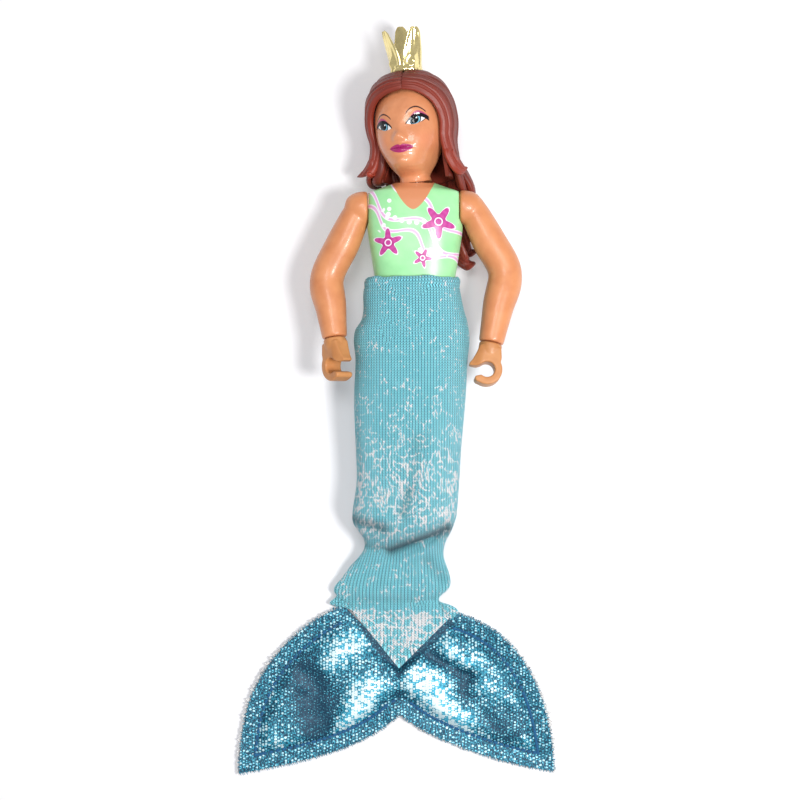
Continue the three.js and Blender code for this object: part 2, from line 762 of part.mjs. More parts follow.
function thighGeometry(side) {
  const x = side * thighMiddle;
  const half = thighWidth / 2;
  const hip = solidOf(facingOutMerged(turnedAcross([
    [0, -half],
    [hipRadius, -half],
    [hipRadius, half - 2.6],
    [hipRadius - 1.0, half - 0.8],
    [hipRadius - 2.4, half],
    [0, half],
  ], 20).scale(side, 1, 1).translate(x, 0, 0)));
  const kneeX = side * (kneeHalfWidth + gap);
  const lower = solidOf(loft([
    legRing(x, 0, 0, half, hipRadius, hipRadius),
    legRing(x, -6, 0, half + 0.1, thighFront, thighBack),
    legRing(x * 0.85 + kneeX * 0.15, -12, 0, half + 0.4, thighFront, thighBack),
    legRing(x * 0.4 + kneeX * 0.6, -18, 0, kneeHalfWidth, 5.6, 5.6),
    legRing(kneeX, kneeY, 0, kneeHalfWidth, kneeRadius + 1.0, kneeRadius + 1.0),
    legRing(kneeX, kneeY - kneeRadius, 0, kneeHalfWidth - 0.5, kneeRadius - 1.8, kneeRadius - 1.8),
  ]));
  const pinHole = solidOf(facingOutMerged(rodAcross(hipPinRadius + pinGap, -(hipPinHalfLength + pinGap),
    hipPinHalfLength + pinGap)));
  const tongueMiddle = kneeX + kneeY * legLean;
  const slotHalf = kneeTongueWidth / 2 + gap;
  const slot = solidOf(box([tongueMiddle - slotHalf, -beyond, -beyond],
    [tongueMiddle + slotHalf, kneeY + kneeRadius + gap, beyond]));
  const kneeHole = solidOf(facingOutMerged(rodAcross(kneePinRadius + pinGap, -2.7, 2.7)
    .translate(tongueMiddle, kneeY, kneeZ)));
  return geometryOf(hip.add(lower).subtract(pinHole).subtract(slot).subtract(kneeHole).subtract(mitre(1)));
}

// The wedge behind the knee that lets the leg bend back, above the joint for the thigh, below for the shin.
function mitre(side) {
  const start = kneeRadius - 1.2;
  const reach = 4 * kneeRadius;
  const wedge = new THREE.Shape();
  wedge.moveTo(start, 0);
  wedge.lineTo(reach, 0);
  wedge.lineTo(reach, side * reach * Math.tan(radians(kneeMitre)));
  wedge.closePath();
  const cutter = new THREE.ExtrudeGeometry(wedge, { depth: 2 * beyond, bevelEnabled: false })
    .rotateY(Math.PI / 2)
    .translate(-beyond, kneeY, kneeZ);
  return solidOf(facingOutMerged(cutter));
}

function shinGeometry(side) {
  const kneeX = side * (kneeHalfWidth + gap);
  const top = kneeY - kneeRadius - 2 * gap;
  const leg = solidOf(loft([
    legRing(kneeX, top, 0, kneeHalfWidth - 0.4, kneeRadius + 0.8, kneeRadius + 0.8),
    legRing(kneeX, kneeY - 9, 0, calfHalfWidth, calfHalfDepth - 0.3, calfHalfDepth + 0.3),
    legRing(kneeX, kneeY - 14, 0, calfHalfWidth - 0.8, calfHalfDepth - 0.9, calfHalfDepth - 0.6),
    legRing(kneeX, sole + 4.2, 0, ankleHalfWidth, ankleHalfDepth, ankleHalfDepth),
    legRing(kneeX, sole + 1.2, 0.2, ankleHalfWidth - 0.4, ankleHalfDepth, ankleHalfDepth - 0.4),
  ]));
  const footX = kneeX + (sole + 2) * legLean;
  const footZ = (sole + 2) * legDrop;
  const footHalf = footThickness / 2;
  const foot = solidOf(loft([
    oval(0, 0, 0, ankleHalfWidth - 0.9, footHalf - 0.4, footHalf - 0.4, 2.2, 14),
    oval(1, 0, 0, ankleHalfWidth - 0.2, footHalf, footHalf, 2.2, 14),
    oval(footLength * 0.6, 0, 0, ankleHalfWidth + 0.2, footHalf, footHalf, 2.4, 14),
    oval(footLength - 1.2, 0, 0, ankleHalfWidth, footHalf - 0.4, footHalf - 0.4, 2.4, 14),
    oval(footLength, 0, 0, ankleHalfWidth - 1.1, footHalf - 1, footHalf - 1, 2.2, 14),
  ]).rotateX(Math.PI / 2 - radians(footPitch)).translate(footX, sole + 5.2, footZ - 3.4));
  const tongue = solidOf(facingOutMerged(rodAcross(kneeRadius - 0.3, -kneeTongueWidth / 2, kneeTongueWidth / 2, 18)
    .translate(kneeX + kneeY * legLean, kneeY, kneeZ)));
  const stem = solidOf(box(
    [kneeX + kneeY * legLean - kneeTongueWidth / 2, top - 1.5, kneeZ - 2.4],
    [kneeX + kneeY * legLean + kneeTongueWidth / 2, kneeY, kneeZ + 2.4],
  ));
  const kneeHole = solidOf(facingOutMerged(rodAcross(kneePinRadius + pinGap, -9, 9)
    .translate(kneeX + kneeY * legLean, kneeY, kneeZ)));
  return geometryOf(leg.subtract(mitre(-1)).add(foot).add(tongue).add(stem).subtract(kneeHole));
}

function kneePinGeometry(side) {
  return facingOutMerged(rodAcross(kneePinRadius, -2.4, 2.4, 12)
    .translate(side * (kneeHalfWidth + gap) + kneeY * legLean, kneeY, kneeZ));
}

// Knitted tail. Rows are height, middle across, middle above the floor, half width, front reach, back reach.

const hipCloth = thighMiddle + thighWidth / 2 + gap + knitWall + hipSlack;
const hipClothFront = thighFront + gap + knitWall + hipFrontSlack;
const kneeCloth = 2 * kneeHalfWidth + 2 * gap + knitWall + kneeSlack;
const tailRows = [
  [waistbandTop, -0.35, bodyHeight, waistHalfWidth + waistSlack, waistFront + waistSlack, waistBack + 1.8],
  [waistbandTop - waistbandLength, -0.35, bodyHeight - 0.1, waistHalfWidth + waistSlack + 0.5,
    waistFront + waistSlack + 0.3, waistBack + waistSlack + 0.4],
  [5, -1.0, hipHeight + 0.7, hipCloth - 0.8, hipClothFront - 0.5, hipClothFront - 0.9],
  [-2.3, -0.7, hipHeight + 0.1, hipCloth, hipClothFront, hipClothFront - 0.3],
  [kneeY + 8.6, -1.05, hipHeight - 0.7, hipCloth - 0.4, hipClothFront - 0.1, hipClothFront - 0.3],
  [kneeY - 3.3, -1.55, hipHeight - 1.4, kneeCloth, hipClothFront - 0.7, hipClothFront - 0.9],
  [sole + 13.7, -1.65, hipHeight - 1.8, kneeCloth - 0.3, hipClothFront - 0.7, hipClothFront - 0.9],
  [sole + 5.4, -2.45, hipHeight - 2.3, kneeCloth - 0.2, hipClothFront - 0.1, hipClothFront - 1.1],
  [sole + 1.2, -2.5, hipHeight - 3.7, kneeCloth - 1.1, hipClothFront - 1.7, hipClothFront - 2.3],
  [sole - 2.1, -2.5, toeHeight, toeHalfWidth, toeReach, toeReach + 0.4],
  [sole - 8.0, -4.35, flareHeight + 1.1, flareHalfWidth - 1.65, flareReach + 0.8, flareReach + 1.1],
  [sole - 13.2, -5.45, flareHeight, flareHalfWidth, flareReach, flareReach + 0.1],
  [sole - tubeLength, -4.65, clothLift + flatKnit / 2 + 0.35, flatHalfWidth, flatKnit / 2 + 0.25, flatKnit / 2 + 0.25],
  [sole - tubeLength - 4, -3.9, clothLift + flatKnit / 2, flatHalfWidth, flatKnit / 2, flatKnit / 2],
  [sole - tubeLength - 16, knitPointAcross, clothLift + flatKnit / 2, flatHalfWidth, flatKnit / 2, flatKnit / 2],
];

// Valleys of the gathered cloth: from a point to a point, half width and depth.
const valleys = [
  { from: [-5.5, sole - 5.8], to: [8.5, sole + 2.0], width: 1.5, depth: 1.5 },
  { from: [-14.5, sole + 5.2], to: [-6.5, sole + 3.4], width: 1.2, depth: 1.0 },
  { from: [-7.0, sole - 2.3], to: [-12.0, sole - 4.8], width: 1.3, depth: 0.9 },
];

function valleyAt(x, y) {
  let depth = 0;
  valleys.forEach((valley) => {
    const alongX = valley.to[0] - valley.from[0];
    const alongY = valley.to[1] - valley.from[1];
    const length = Math.hypot(alongX, alongY);
    const share = ((x - valley.from[0]) * alongX + (y - valley.from[1]) * alongY) / length ** 2;
    const held = Math.min(Math.max(share, 0), 1);
    const away = Math.hypot(x - valley.from[0] - held * alongX, y - valley.from[1] - held * alongY);
    depth += valley.depth * bump(away, valley.width);
  });
  return depth;
}

function tailRing(y, inset) {
  const [x, z, halfWidth, front, back] = readTable(tailRows, y);
  const low = Math.min(back, z - clothLift);
  const ring = oval(y, x, z, halfWidth - inset, front - inset, low - inset, tailPower);
  ring.forEach((point) => {
    if (point.z > z) {
      const share = (point.z - z) / front;
      point.z -= valleyAt(point.x, y) * share;
    }
  });
  return ring;
}

function heightsBetween(from, to, step) {
  const count = Math.max(1, Math.round((from - to) / step));
  return Array.from({ length: count + 1 }, (_, k) => from + ((to - from) * k) / count);
}

const tailStep = 4.2;

function tailTube(from, to) {
  const heights = heightsBetween(from, to, tailStep);
  const outside = heights.map((y) => tailRing(y, 0));
  const inside = heights.map((y) => tailRing(y, knitWall)).reverse();
  return hollowLoft([...outside, ...inside]);
}

function waistbandGeometry() {
  const bottom = waistbandTop - waistbandLength;
  const inner = (y) => {
    const [halfWidth, front, back] = torsoProfile(y);
    return oval(y, 0, bodyHeight, halfWidth + gap, front + gap, back + gap, 2.5);
  };
  const middle = (waistbandTop + bottom) / 2;
  return hollowLoft([
    tailRing(waistbandTop, 0.3),
    tailRing(waistbandTop - 0.5, 0),
    tailRing(middle, 0),
    tailRing(bottom, 0.1),
    inner(bottom),
    inner(waistbandTop),
  ]);
}

const knitPoint = [knitPointAcross, sole - knitPointDrop];
const knitCornerLeft = [knitCornerLeftAcross, sole - knitCornerLeftDrop];
const knitCornerRight = [knitCornerRightAcross, sole - knitCornerRightDrop];
const middleCut = sole + middleCutAboveSole;

// The knit's V edge against the fin, as straight lines from each corner to the point.
function finSideOf(corner, offset) {
  const outline = new THREE.Shape();
  const [px, py] = knitPoint;
  const outward = Math.sign(corner[0] - px);
  const length = Math.hypot(corner[0] - px, corner[1] - py);
  const nx = (outward * Math.abs(corner[1] - py)) / length;
  const ny = -Math.abs(corner[0] - px) / length;
  const slope = (corner[1] - py) / (corner[0] - px);
  const startX = px + nx * offset - outward * 6;
  const startY = py + ny * offset - slope * outward * 6;
  const endX = corner[0] + nx * offset + outward * beyond;
  const endY = corner[1] + ny * offset + slope * outward * beyond;
  outline.moveTo(startX, startY);
  outline.lineTo(endX, endY);
  outline.lineTo(endX, sole - 2 * beyond);
  outline.lineTo(startX, sole - 2 * beyond);
  outline.closePath();
  return facingOutMerged(new THREE.ExtrudeGeometry(outline, { depth: 2 * beyond, bevelEnabled: false })
    .translate(0, 0, -beyond));
}

function tailLowerGeometry() {
  const top = middleCut - gap;
  const feet = sole + 5;
  const outerHeights = [...heightsBetween(top, feet, 2.5), ...heightsBetween(feet - 1.3, sole - tubeLength, 1.5),
    sole - knitPointDrop - 2];
  const innerHeights = [...heightsBetween(top + 1, feet, 3), ...heightsBetween(feet - 2, sole - pocketLength, 2.2)];
  const outer = solidOf(loft(outerHeights.map((y) => tailRing(y, 0))));
  const inner = solidOf(loft(innerHeights.map((y) => tailRing(y, knitWall))));
  return geometryOf(outer.subtract(inner)
    .subtract(solidOf(finSideOf(knitCornerLeft, 0)))
    .subtract(solidOf(finSideOf(knitCornerRight, 0))));
}

// Fin layers

function finOutline() {
  const outline = new THREE.Shape();
  const notch = [finNotchAcross, sole - finNotchDrop];
  const tipLeft = [finTipLeftAcross, sole - finTipLeftDrop];
  const tipRight = [finTipRightAcross, sole - finTipRightDrop];
  const topLeft = [knitCornerLeft[0] + 0.8, knitCornerLeft[1] + 1.2];
  const topRight = [knitCornerRight[0] - 2.3, knitCornerRight[1]];
  outline.moveTo(...notch);
  outline.bezierCurveTo(notch[0] + 7, notch[1] - 6.5, tipLeft[0] - 11.6, tipLeft[1] + 1.5, ...tipLeft);
  outline.bezierCurveTo(tipLeft[0] - 0.4, tipLeft[1] + 12.3, tipLeft[0] - 4, tipLeft[1] + 25.3,
    topLeft[0] + 11.4, topLeft[1] - 5.4);
  outline.quadraticCurveTo(topLeft[0] + 5.8, topLeft[1] - 1.2, ...topLeft);
  outline.lineTo(...topRight);
  outline.bezierCurveTo(topRight[0] - 8.9, topRight[1] - 3.7, tipRight[0] + 5, tipRight[1] + 26.9,
    tipRight[0] + 1.9, tipRight[1] + 14.9);
  outline.quadraticCurveTo(tipRight[0] + 0.2, tipRight[1] + 7.9, ...tipRight);
  outline.bezierCurveTo(tipRight[0] + 18.5, tipRight[1] + 3.5, notch[0] - 8.4, notch[1] - 8.2, ...notch);
  return outline;
}

function finGeometry(bottom, thickness) {
  const plate = new THREE.ExtrudeGeometry(finOutline(), {
    depth: thickness, bevelEnabled: false, curveSegments: 10,
  }).translate(0, 0, bottom);
  const keep = solidOf(finSideOf(knitCornerLeft, gap)).add(solidOf(finSideOf(knitCornerRight, gap)));
  return geometryOf(solidOf(facingOutMerged(plate)).intersect(keep));
}

// Assembly

const doll = new THREE.Group();

function addPiece(parent, name, geometry, material) {
  const mesh = new THREE.Mesh(geometry, material);
  mesh.name = name;
  parent.add(mesh);
  return mesh;
}

addPiece(doll, 'torso_front', torsoFront, mintPlastic);
addPiece(doll, 'torso_back', torsoBack, mintPlastic);

const headGroup = new THREE.Group();
headGroup.position.set(0, neckSeat, bodyHeight);
headGroup.rotation.y = radians(headTurn);
doll.add(headGroup);
addPiece(headGroup, 'head', head, skin);
addPiece(headGroup, 'hair', hair, hairPlastic);
const crownGroup = new THREE.Group();
crownGroup.matrixAutoUpdate = false;
crownGroup.matrix.copy(tilt).multiply(new THREE.Matrix4().makeTranslation(0, crownSeat, 0));
headGroup.add(crownGroup);
addPiece(crownGroup, 'crown', crownGeometry(), goldPlating);

const arms = [
  { label: 'left', side: 1, upperArm: upperArmLeft, forearm: forearmLeft, turn: handTurnLeft },
  { label: 'right', side: -1, upperArm: upperArmRight, forearm: forearmRight, turn: handTurnRight },
];
arms.forEach(({ label, side, upperArm, forearm, turn }) => {
  const elbow = shoulderPoint(side).map((value, k) => value + upperArm[k]);
  const wrist = elbow.map((value, k) => value + forearm[k]);
  addPiece(doll, `arm_${label}`, armGeometry(side, elbow, wrist), skin);
  const handGroup = new THREE.Group();
  handGroup.matrixAutoUpdate = false;
  handGroup.matrix.copy(wristFrame(elbow, wrist))
    .multiply(new THREE.Matrix4().makeRotationY(radians(side * turn)));
  doll.add(handGroup);
  addPiece(handGroup, `hand_${label}`, handGeometry(side), handSkin);
});

const legGroup = new THREE.Group();
legGroup.position.set(0, 0, hipHeight);
doll.add(legGroup);
addPiece(legGroup, 'pelvis', pelvisGeometry(), mintPlastic);
addPiece(legGroup, 'hip_pin', facingOutMerged(rodAcross(hipPinRadius, -hipPinHalfLength, hipPinHalfLength)), pinSteel);
[{ label: 'left', side: 1 }, { label: 'right', side: -1 }].forEach(({ label, side }) => {
  addPiece(legGroup, `thigh_${label}`, thighGeometry(side), skin);
  addPiece(legGroup, `knee_pin_${label}`, kneePinGeometry(side), pinSteel);
  addPiece(legGroup, `shin_${label}`, shinGeometry(side), skin);
});

addPiece(doll, 'tail_waistband', waistbandGeometry(), knitCloth);
addPiece(doll, 'tail_upper', tailTube(waistbandTop - waistbandLength - gap, upperCut), knitCloth);
addPiece(doll, 'tail_middle', tailTube(upperCut - gap, middleCut), knitCloth);
addPiece(doll, 'tail_lower', tailLowerGeometry(), knitCloth);

const liningBottom = finLayer + gap;
const frontBottom = liningBottom + finLiningLayer + gap;
addPiece(doll, 'fin_back', finGeometry(0, finLayer), lameCloth);
addPiece(doll, 'fin_lining', finGeometry(liningBottom, finLiningLayer), liningCloth);
addPiece(doll, 'fin_front', finGeometry(frontBottom, finLayer), lameCloth);

// The finished doll stands with the middle of its outer box over the origin.
doll.updateMatrixWorld(true);
const outerBox = new THREE.Box3().setFromObject(doll, true);
const centre = outerBox.getCenter(new THREE.Vector3());
doll.position.set(-centre.x, -centre.y, -outerBox.min.z);

export default doll;
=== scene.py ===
# Mermaid doll in a knitted tail with a fabric fin, lying on its back
import math

import bmesh
import bpy
from mathutils import Matrix, Vector, kdtree, noise


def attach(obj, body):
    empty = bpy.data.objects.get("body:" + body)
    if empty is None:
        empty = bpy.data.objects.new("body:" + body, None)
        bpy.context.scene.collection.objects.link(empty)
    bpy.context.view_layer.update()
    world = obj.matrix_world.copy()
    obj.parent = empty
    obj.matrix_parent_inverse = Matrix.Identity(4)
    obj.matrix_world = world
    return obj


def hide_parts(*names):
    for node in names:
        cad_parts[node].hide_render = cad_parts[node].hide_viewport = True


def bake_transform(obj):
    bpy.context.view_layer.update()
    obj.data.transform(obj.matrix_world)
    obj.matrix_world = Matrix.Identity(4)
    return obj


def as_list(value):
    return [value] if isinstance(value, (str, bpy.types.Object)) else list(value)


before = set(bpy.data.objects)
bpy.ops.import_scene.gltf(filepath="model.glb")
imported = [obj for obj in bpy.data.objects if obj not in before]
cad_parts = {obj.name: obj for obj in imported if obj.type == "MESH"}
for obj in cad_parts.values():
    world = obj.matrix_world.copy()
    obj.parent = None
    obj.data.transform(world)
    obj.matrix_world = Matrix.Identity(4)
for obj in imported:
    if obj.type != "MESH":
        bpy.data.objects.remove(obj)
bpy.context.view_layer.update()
print("frame loaded")

# The doll is modelled in millimetres round its hip line, and this puts it in the frame
doll = {
    "across": 4.4,  # mm from the frame's origin to the middle of the torso
    "along": 16.8626,  # mm to the hip line
    "bodyHeight": 12.507,  # the torso's middle over the floor
    "hipHeight": 11.307,
    "torsoTop": 35.9,
    "headTurn": -21,
    "headTilt": 5,
    "tiltCentre": 2,  # mm over the torso's top
}
dollPlace = Matrix.Scale(0.001, 4) @ Matrix.Translation((doll["across"], doll["along"], 0))
headPlace = (
    dollPlace
    @ Matrix.Translation((0, doll["torsoTop"], doll["bodyHeight"]))
    @ Matrix.Rotation(math.radians(doll["headTurn"]), 4, "Y")
)
tiltPlace = (
    headPlace
    @ Matrix.Translation((0, doll["tiltCentre"], 0))
    @ Matrix.Rotation(math.radians(doll["headTilt"]), 4, "Z")
    @ Matrix.Translation((0, -doll["tiltCentre"], 0))
)


def linked(name, data):
    made = bpy.data.objects.new(name, data)
    bpy.context.scene.collection.objects.link(made)
    return made


# Camera straight above the doll
camera = {"across": 0.00085, "along": 0.00146, "height": 0.400, "lens": 73.8}
cameraData = bpy.data.cameras.new("camera")
cameraData.lens = camera["lens"]
cameraData.sensor_width = 36
cameraData.clip_start = 0.01
cameraData.clip_end = 20
cameraObject = linked("camera", cameraData)
cameraObject.location = (camera["across"], camera["along"], camera["height"])
bpy.context.scene.camera = cameraObject


# Shader sockets that can be added and multiplied
class Flow:
    def __init__(self, tree, socket=None):
        self.tree = tree
        self.socket = socket

    def make(self, kind, settings=None, values=None, result=0):
        node = self.tree.nodes.new("ShaderNode" + kind)
        for key, value in (settings or {}).items():
            setattr(node, key, value)
        for key, value in (values or {}).items():
            if isinstance(value, Flow):
                self.tree.links.new(value.socket, node.inputs[key])
            else:
                node.inputs[key].default_value = value
        return Flow(self.tree, node.outputs[result] if len(node.outputs) else None)

    def maths(self, operation, *terms):
        return self.make("Math", {"operation": operation}, dict(enumerate(terms)))

    def own(self, operation):  # such as SINE or FLOOR of this value
        return self.maths(operation, self)

    def __add__(self, other):
        return self.maths("ADD", self, other)

    __radd__ = __add__

    def __sub__(self, other):
        return self.maths("SUBTRACT", self, other)

    def __rsub__(self, other):
        return self.maths("SUBTRACT", other, self)

    def __mul__(self, other):
        return self.maths("MULTIPLY", self, other)

    def __truediv__(self, other):
        return self.maths("DIVIDE", self, other)

    def __pow__(self, other):
        return self.maths("POWER", self, other)

    def size(self):
        return self.maths("ABSOLUTE", self)

    def least(self, other):
        return self.maths("MINIMUM", self, other)

    def most(self, other):
        return self.maths("MAXIMUM", self, other)

    def step(self, low, high):  # 0 below low, 1 above high
        return self.make(
            "MapRange",
            {"interpolation_type": "SMOOTHSTEP"},
            {0: self, 1: low, 2: high, 3: 0.0, 4: 1.0},
        )

    def under(self, limit, edge):  # 1 below the limit, 0 above it
        return 1 - self.step(limit - edge, limit + edge)

    def paint(self, first, second):  # self is the share of the second colour
        return self.make("Mix", {"data_type": "RGBA"}, {0: self, 6: first, 7: second}, 2)

    def split(self):
        node = self.make("SeparateXYZ", {}, {0: self}).socket.node
        return [Flow(self.tree, output) for output in node.outputs]

    def pattern(self):  # the piece's own UV map
        return self.make("TexCoord", result=2)

    def place(self):
        return self.make("TexCoord", result=3)

    def noise(self, where, scale, detail=2.0):
        return self.make("TexNoise", {}, {"Vector": where, "Scale": scale, "Detail": detail})

    def joined(self, x, y):
        return self.make("CombineXYZ", {}, {0: x, 1: y})

    def bump(self, height, depth):
        return self.make("Bump", {}, {"Height": height, "Distance": depth, "Strength": 1.0})

    def random(self, x, y):  # one value for each pair
        where = self.joined(x, y)
        return self.make("TexWhiteNoise", {"noise_dimensions": "2D"}, {"Vector": where})

    def painted(self, name):  # a value that the mesh carries
        return self.make("Attribute", {"attribute_name": name}, result=2)


def colour(red, green, blue):
    parts = [value / 255 for value in (red, green, blue)]
    return [p / 12.92 if p < 0.04045 else ((p + 0.055) / 1.055) ** 2.4 for p in parts] + [1]


def newMaterial(name):
    material = bpy.data.materials.new(name)
    material.use_nodes = True
    material.node_tree.nodes.clear()
    return material, Flow(material.node_tree)


def distance(dx, dy):
    return (dx * dx + dy * dy) ** 0.5


def shade(flow, values):
    bsdf = flow.make("BsdfPrincipled", {}, values)
    flow.make("OutputMaterial", {}, {0: bsdf})


# Mesh helpers
def facingOut(bm):
    bmesh.ops.recalc_face_normals(bm, faces=bm.faces)


def rounded(bm, edges, offset, segments):
    bmesh.ops.bevel(
        bm,
        geom=edges,
        offset=offset,
        segments=segments,
        profile=0.5,
        affect="EDGES",
        material=-1,
        clamp_overlap=True,
    )


def raised(bm, faces, height):  # gives a surface a thickness along z
    made = bmesh.ops.extrude_face_region(bm, geom=faces)
    top = [item for item in made["geom"] if isinstance(item, bmesh.types.BMVert)]
    bmesh.ops.translate(bm, verts=top, vec=(0, 0, height))
    facingOut(bm)


def walled(bm, thickness):
    bmesh.ops.solidify(bm, geom=bm.faces[:], thickness=thickness)
    return bm


def tube(around, rows, shape):
    bm = bmesh.new()
    bmesh.ops.create_cone(bm, cap_ends=False, segments=around, radius1=1, radius2=1, depth=1)
    upright = [e for e in bm.edges if abs(e.verts[0].co.z - e.verts[1].co.z) > 0.5]
    bmesh.ops.subdivide_edges(bm, edges=upright, cuts=rows - 1)
    layer = bm.verts.layers.float_vector.new("station")
    for vert in bm.verts:
        angle = math.atan2(-vert.co.y, vert.co.x)
        share = min(max(vert.co.z + 0.5, 0), 1)
        vert[layer] = (angle, share, 0)
        vert.co = shape(angle, share)
    return bm


def closeEnds(bm):
    edges = [e for e in bm.edges if e.is_boundary]
    bmesh.ops.holes_fill(bm, edges=edges, sides=0)


def sheetGrid(columns, rows, shape):
    bm = bmesh.new()
    bmesh.ops.create_grid(bm, x_segments=columns, y_segments=rows, size=0.5)
    layer = bm.verts.layers.float_vector.new("station")
    for vert in bm.verts:
        u, v = vert.co.x + 0.5, vert.co.y + 0.5
        vert[layer] = (u, v, 0)
        vert.co = shape(u, v)
    return bm


def turnedSolid(profile, steps, axis="Y"):
    bm = bmesh.new()
    verts = [bm.verts.new((radius, along, 0)) for radius, along in profile]
    edges = [bm.edges.new(pair) for pair in zip(verts, verts[1:])]
    outline = verts + edges
    centre, turning = (0, 0, 0), (0, 1, 0)
    bmesh.ops.spin(
        bm, geom=outline, cent=centre, axis=turning, angle=math.tau, steps=steps, use_merge=True
    )
    bmesh.ops.remove_doubles(bm, verts=bm.verts, dist=1e-4)
    if axis == "X":
        bm.transform(Matrix.Rotation(-math.pi / 2, 4, "Z"))
    facingOut(bm)
    return bm


def addTo(target, other, matrix=None):
    if matrix:
        other.transform(matrix)
    mesh = bpy.data.meshes.new("part")
    other.to_mesh(mesh)
    other.free()
    target.from_mesh(mesh)
    bpy.data.meshes.remove(mesh)


def remeshed(bm, voxel, rounds):
    mesh = bpy.data.meshes.new("raw")
    bm.to_mesh(mesh)
    bm.free()
    raw = linked("raw", mesh)
    modifier = raw.modifiers.new("remesh", "REMESH")
    modifier.mode = "VOXEL"
    modifier.voxel_size = voxel
    bpy.context.view_layer.update()
    result = raw.evaluated_get(bpy.context.evaluated_depsgraph_get()).to_mesh()
    made = bmesh.new()
    made.from_mesh(result)
    bpy.data.objects.remove(raw)
    bpy.data.meshes.remove(mesh)
    for _ in range(rounds):
        bmesh.ops.smooth_vert(
            made, verts=made.verts, factor=0.5, use_axis_x=True, use_axis_y=True, use_axis_z=True
        )
    return made


def addUv(bm, value):
    layer = bm.loops.layers.uv.new("pattern")
    station = bm.verts.layers.float_vector["station"]
    for face in bm.faces:
        stations = [loop.vert[station] for loop in face.loops]
        middle = stations[0][0]
        for loop, (first, second, _) in zip(face.loops, stations):
            if first - middle > math.pi:
                first -= math.tau
            elif middle - first > math.pi:
                first += math.tau
            loop[layer].uv = value(loop.vert, first, second)


def finished(bm, name, material, body=None, replaces=(), place=dollPlace, sharp=50):
    bm.transform(place)
    mesh = bpy.data.meshes.new(name)
    bm.to_mesh(mesh)
    bm.free()
    for polygon in mesh.polygons:
        polygon.use_smooth = True
    mesh.set_sharp_from_angle(angle=math.radians(sharp))
    mesh.materials.append(material)
    piece = linked(name, mesh)
    if body:
        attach(piece, body)
    if replaces:
        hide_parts(*replaces)
    return piece


def power(value, exponent):
    return math.copysign(abs(value) ** exponent, value)


def ringPoint(across, out, half, front, back, square):  # a square of 2 is an oval, more is squarer
    reach = front if out > 0 else back
    return half * power(across, 2 / square), reach * power(out, 2 / square)


def readTable(rows, y):  # a smooth curve through rows of falling height
    low = 0
    while low < len(rows) - 2 and rows[low + 1][0] > y:
        low += 1
    a, b = rows[low], rows[low + 1]
    before, after = rows[max(low - 1, 0)], rows[min(low + 2, len(rows) - 1)]
    span = b[0] - a[0]
    t = min(max((y - a[0]) / span, 0), 1)
    result = []
    for k in range(1, len(a)):
        start, end = a[k], b[k]
        slopeStart = end - start if before is a else (end - before[k]) / (b[0] - before[0]) * span
        slopeEnd = end - start if after is b else (after[k] - start) / (after[0] - a[0]) * span
        result.append(
            start * (2 * t**3 - 3 * t**2 + 1)
            + slopeStart * (t**3 - 2 * t**2 + t)
            + end * (3 * t**2 - 2 * t**3)
            + slopeEnd * (t**3 - t**2)
        )
    return result


def alongCurve(points, share):  # a smooth curve through equally spaced stations
    position = share * (len(points) - 1)
    low = min(int(position), len(points) - 2)
    t = position - low
    stations = [points[min(max(low + step, 0), len(points) - 1)] for step in (-1, 0, 1, 2)]
    result = []
    for a, b, c, d in zip(*stations):
        bend = (2 * a - 5 * b + 4 * c - d) * t * t
        twist = (3 * b - a - 3 * c + d) * t**3
        result.append(0.5 * (2 * b + (c - a) * t + bend + twist))
    return result


def between(a, b, share):
    return (a[0] + (b[0] - a[0]) * share, a[1] + (b[1] - a[1]) * share)


def fromLine(x, y, start, end):
    dx, dy = end[0] - start[0], end[1] - start[1]
    share = min(max(((x - start[0]) * dx + (y - start[1]) * dy) / (dx * dx + dy * dy), 0), 1)
    return math.hypot(x - start[0] - dx * share, y - start[1] - dy * share)


def bumpAt(away, width):
    return math.exp(-((away / width) ** 2))


def strokesAt(strokes, x, y):  # each stroke has its start, end, width and height
    return sum(
        height * bumpAt(fromLine(x, y, start, end), width)
        for start, end, width, height in strokes
    )


def noiseAt(x, y, z):
    return noise.noise(Vector((x, y, z)))


def reliefAt(bumps, x, y):  # each bump has a height, its place and width in x, and the same in y
    return sum(
        height * bumpAt(x - placeX, wideX) * bumpAt(y - placeY, wideY)
        for height, placeX, wideX, placeY, wideY in bumps
    )


def smooth(value, low, high):
    t = min(max((value - low) / (high - low), 0), 1)
    return t * t * (3 - 2 * t)


# Floor and light
studio = {
    "floor": colour(246, 245, 247),
    "floorReach": 3,
    "floorGlow": 0.2,  # share of plain white in what the camera sees of the floor
    "floorWhite": 1.12,
    "world": (0.93, 0.93, 1.0, 1),
    "worldStrength": 0.38,
    "keyPlace": (0.19, -0.04, 0.42),
    "keySize": 0.11,
    "keyPower": 1.6,
    "topPlace": (-0.05, 0.16, 0.60),
    "topSize": 0.22,
    "topPower": 1.1,
}


def seenDirectly(flow):  # camera, mirror and glass rays
    path = flow.make("LightPath").socket.node
    names = ("Is Camera Ray", "Is Glossy Ray", "Is Transmission Ray")
    cameraRay, glossyRay, glassRay = [Flow(flow.tree, path.outputs[name]) for name in names]
    return (cameraRay + glossyRay + glassRay).least(1.0)


floorMaterial, flow = newMaterial("floor")
diffuse = flow.make("BsdfDiffuse", {}, {"Color": studio["floor"]})
glow = flow.make("Emission", {}, {"Color": (1, 1, 1, 1), "Strength": studio["floorWhite"]})
glowShare = seenDirectly(flow) * studio["floorGlow"]
mixed = flow.make("MixShader", {}, {0: glowShare, 1: diffuse, 2: glow})
flow.make("OutputMaterial", {}, {0: mixed})
floorBm = bmesh.new()
bmesh.ops.create_grid(floorBm, x_segments=8, y_segments=8, size=studio["floorReach"])
floor = finished(floorBm, "floor", floorMaterial, place=Matrix.Identity(4))

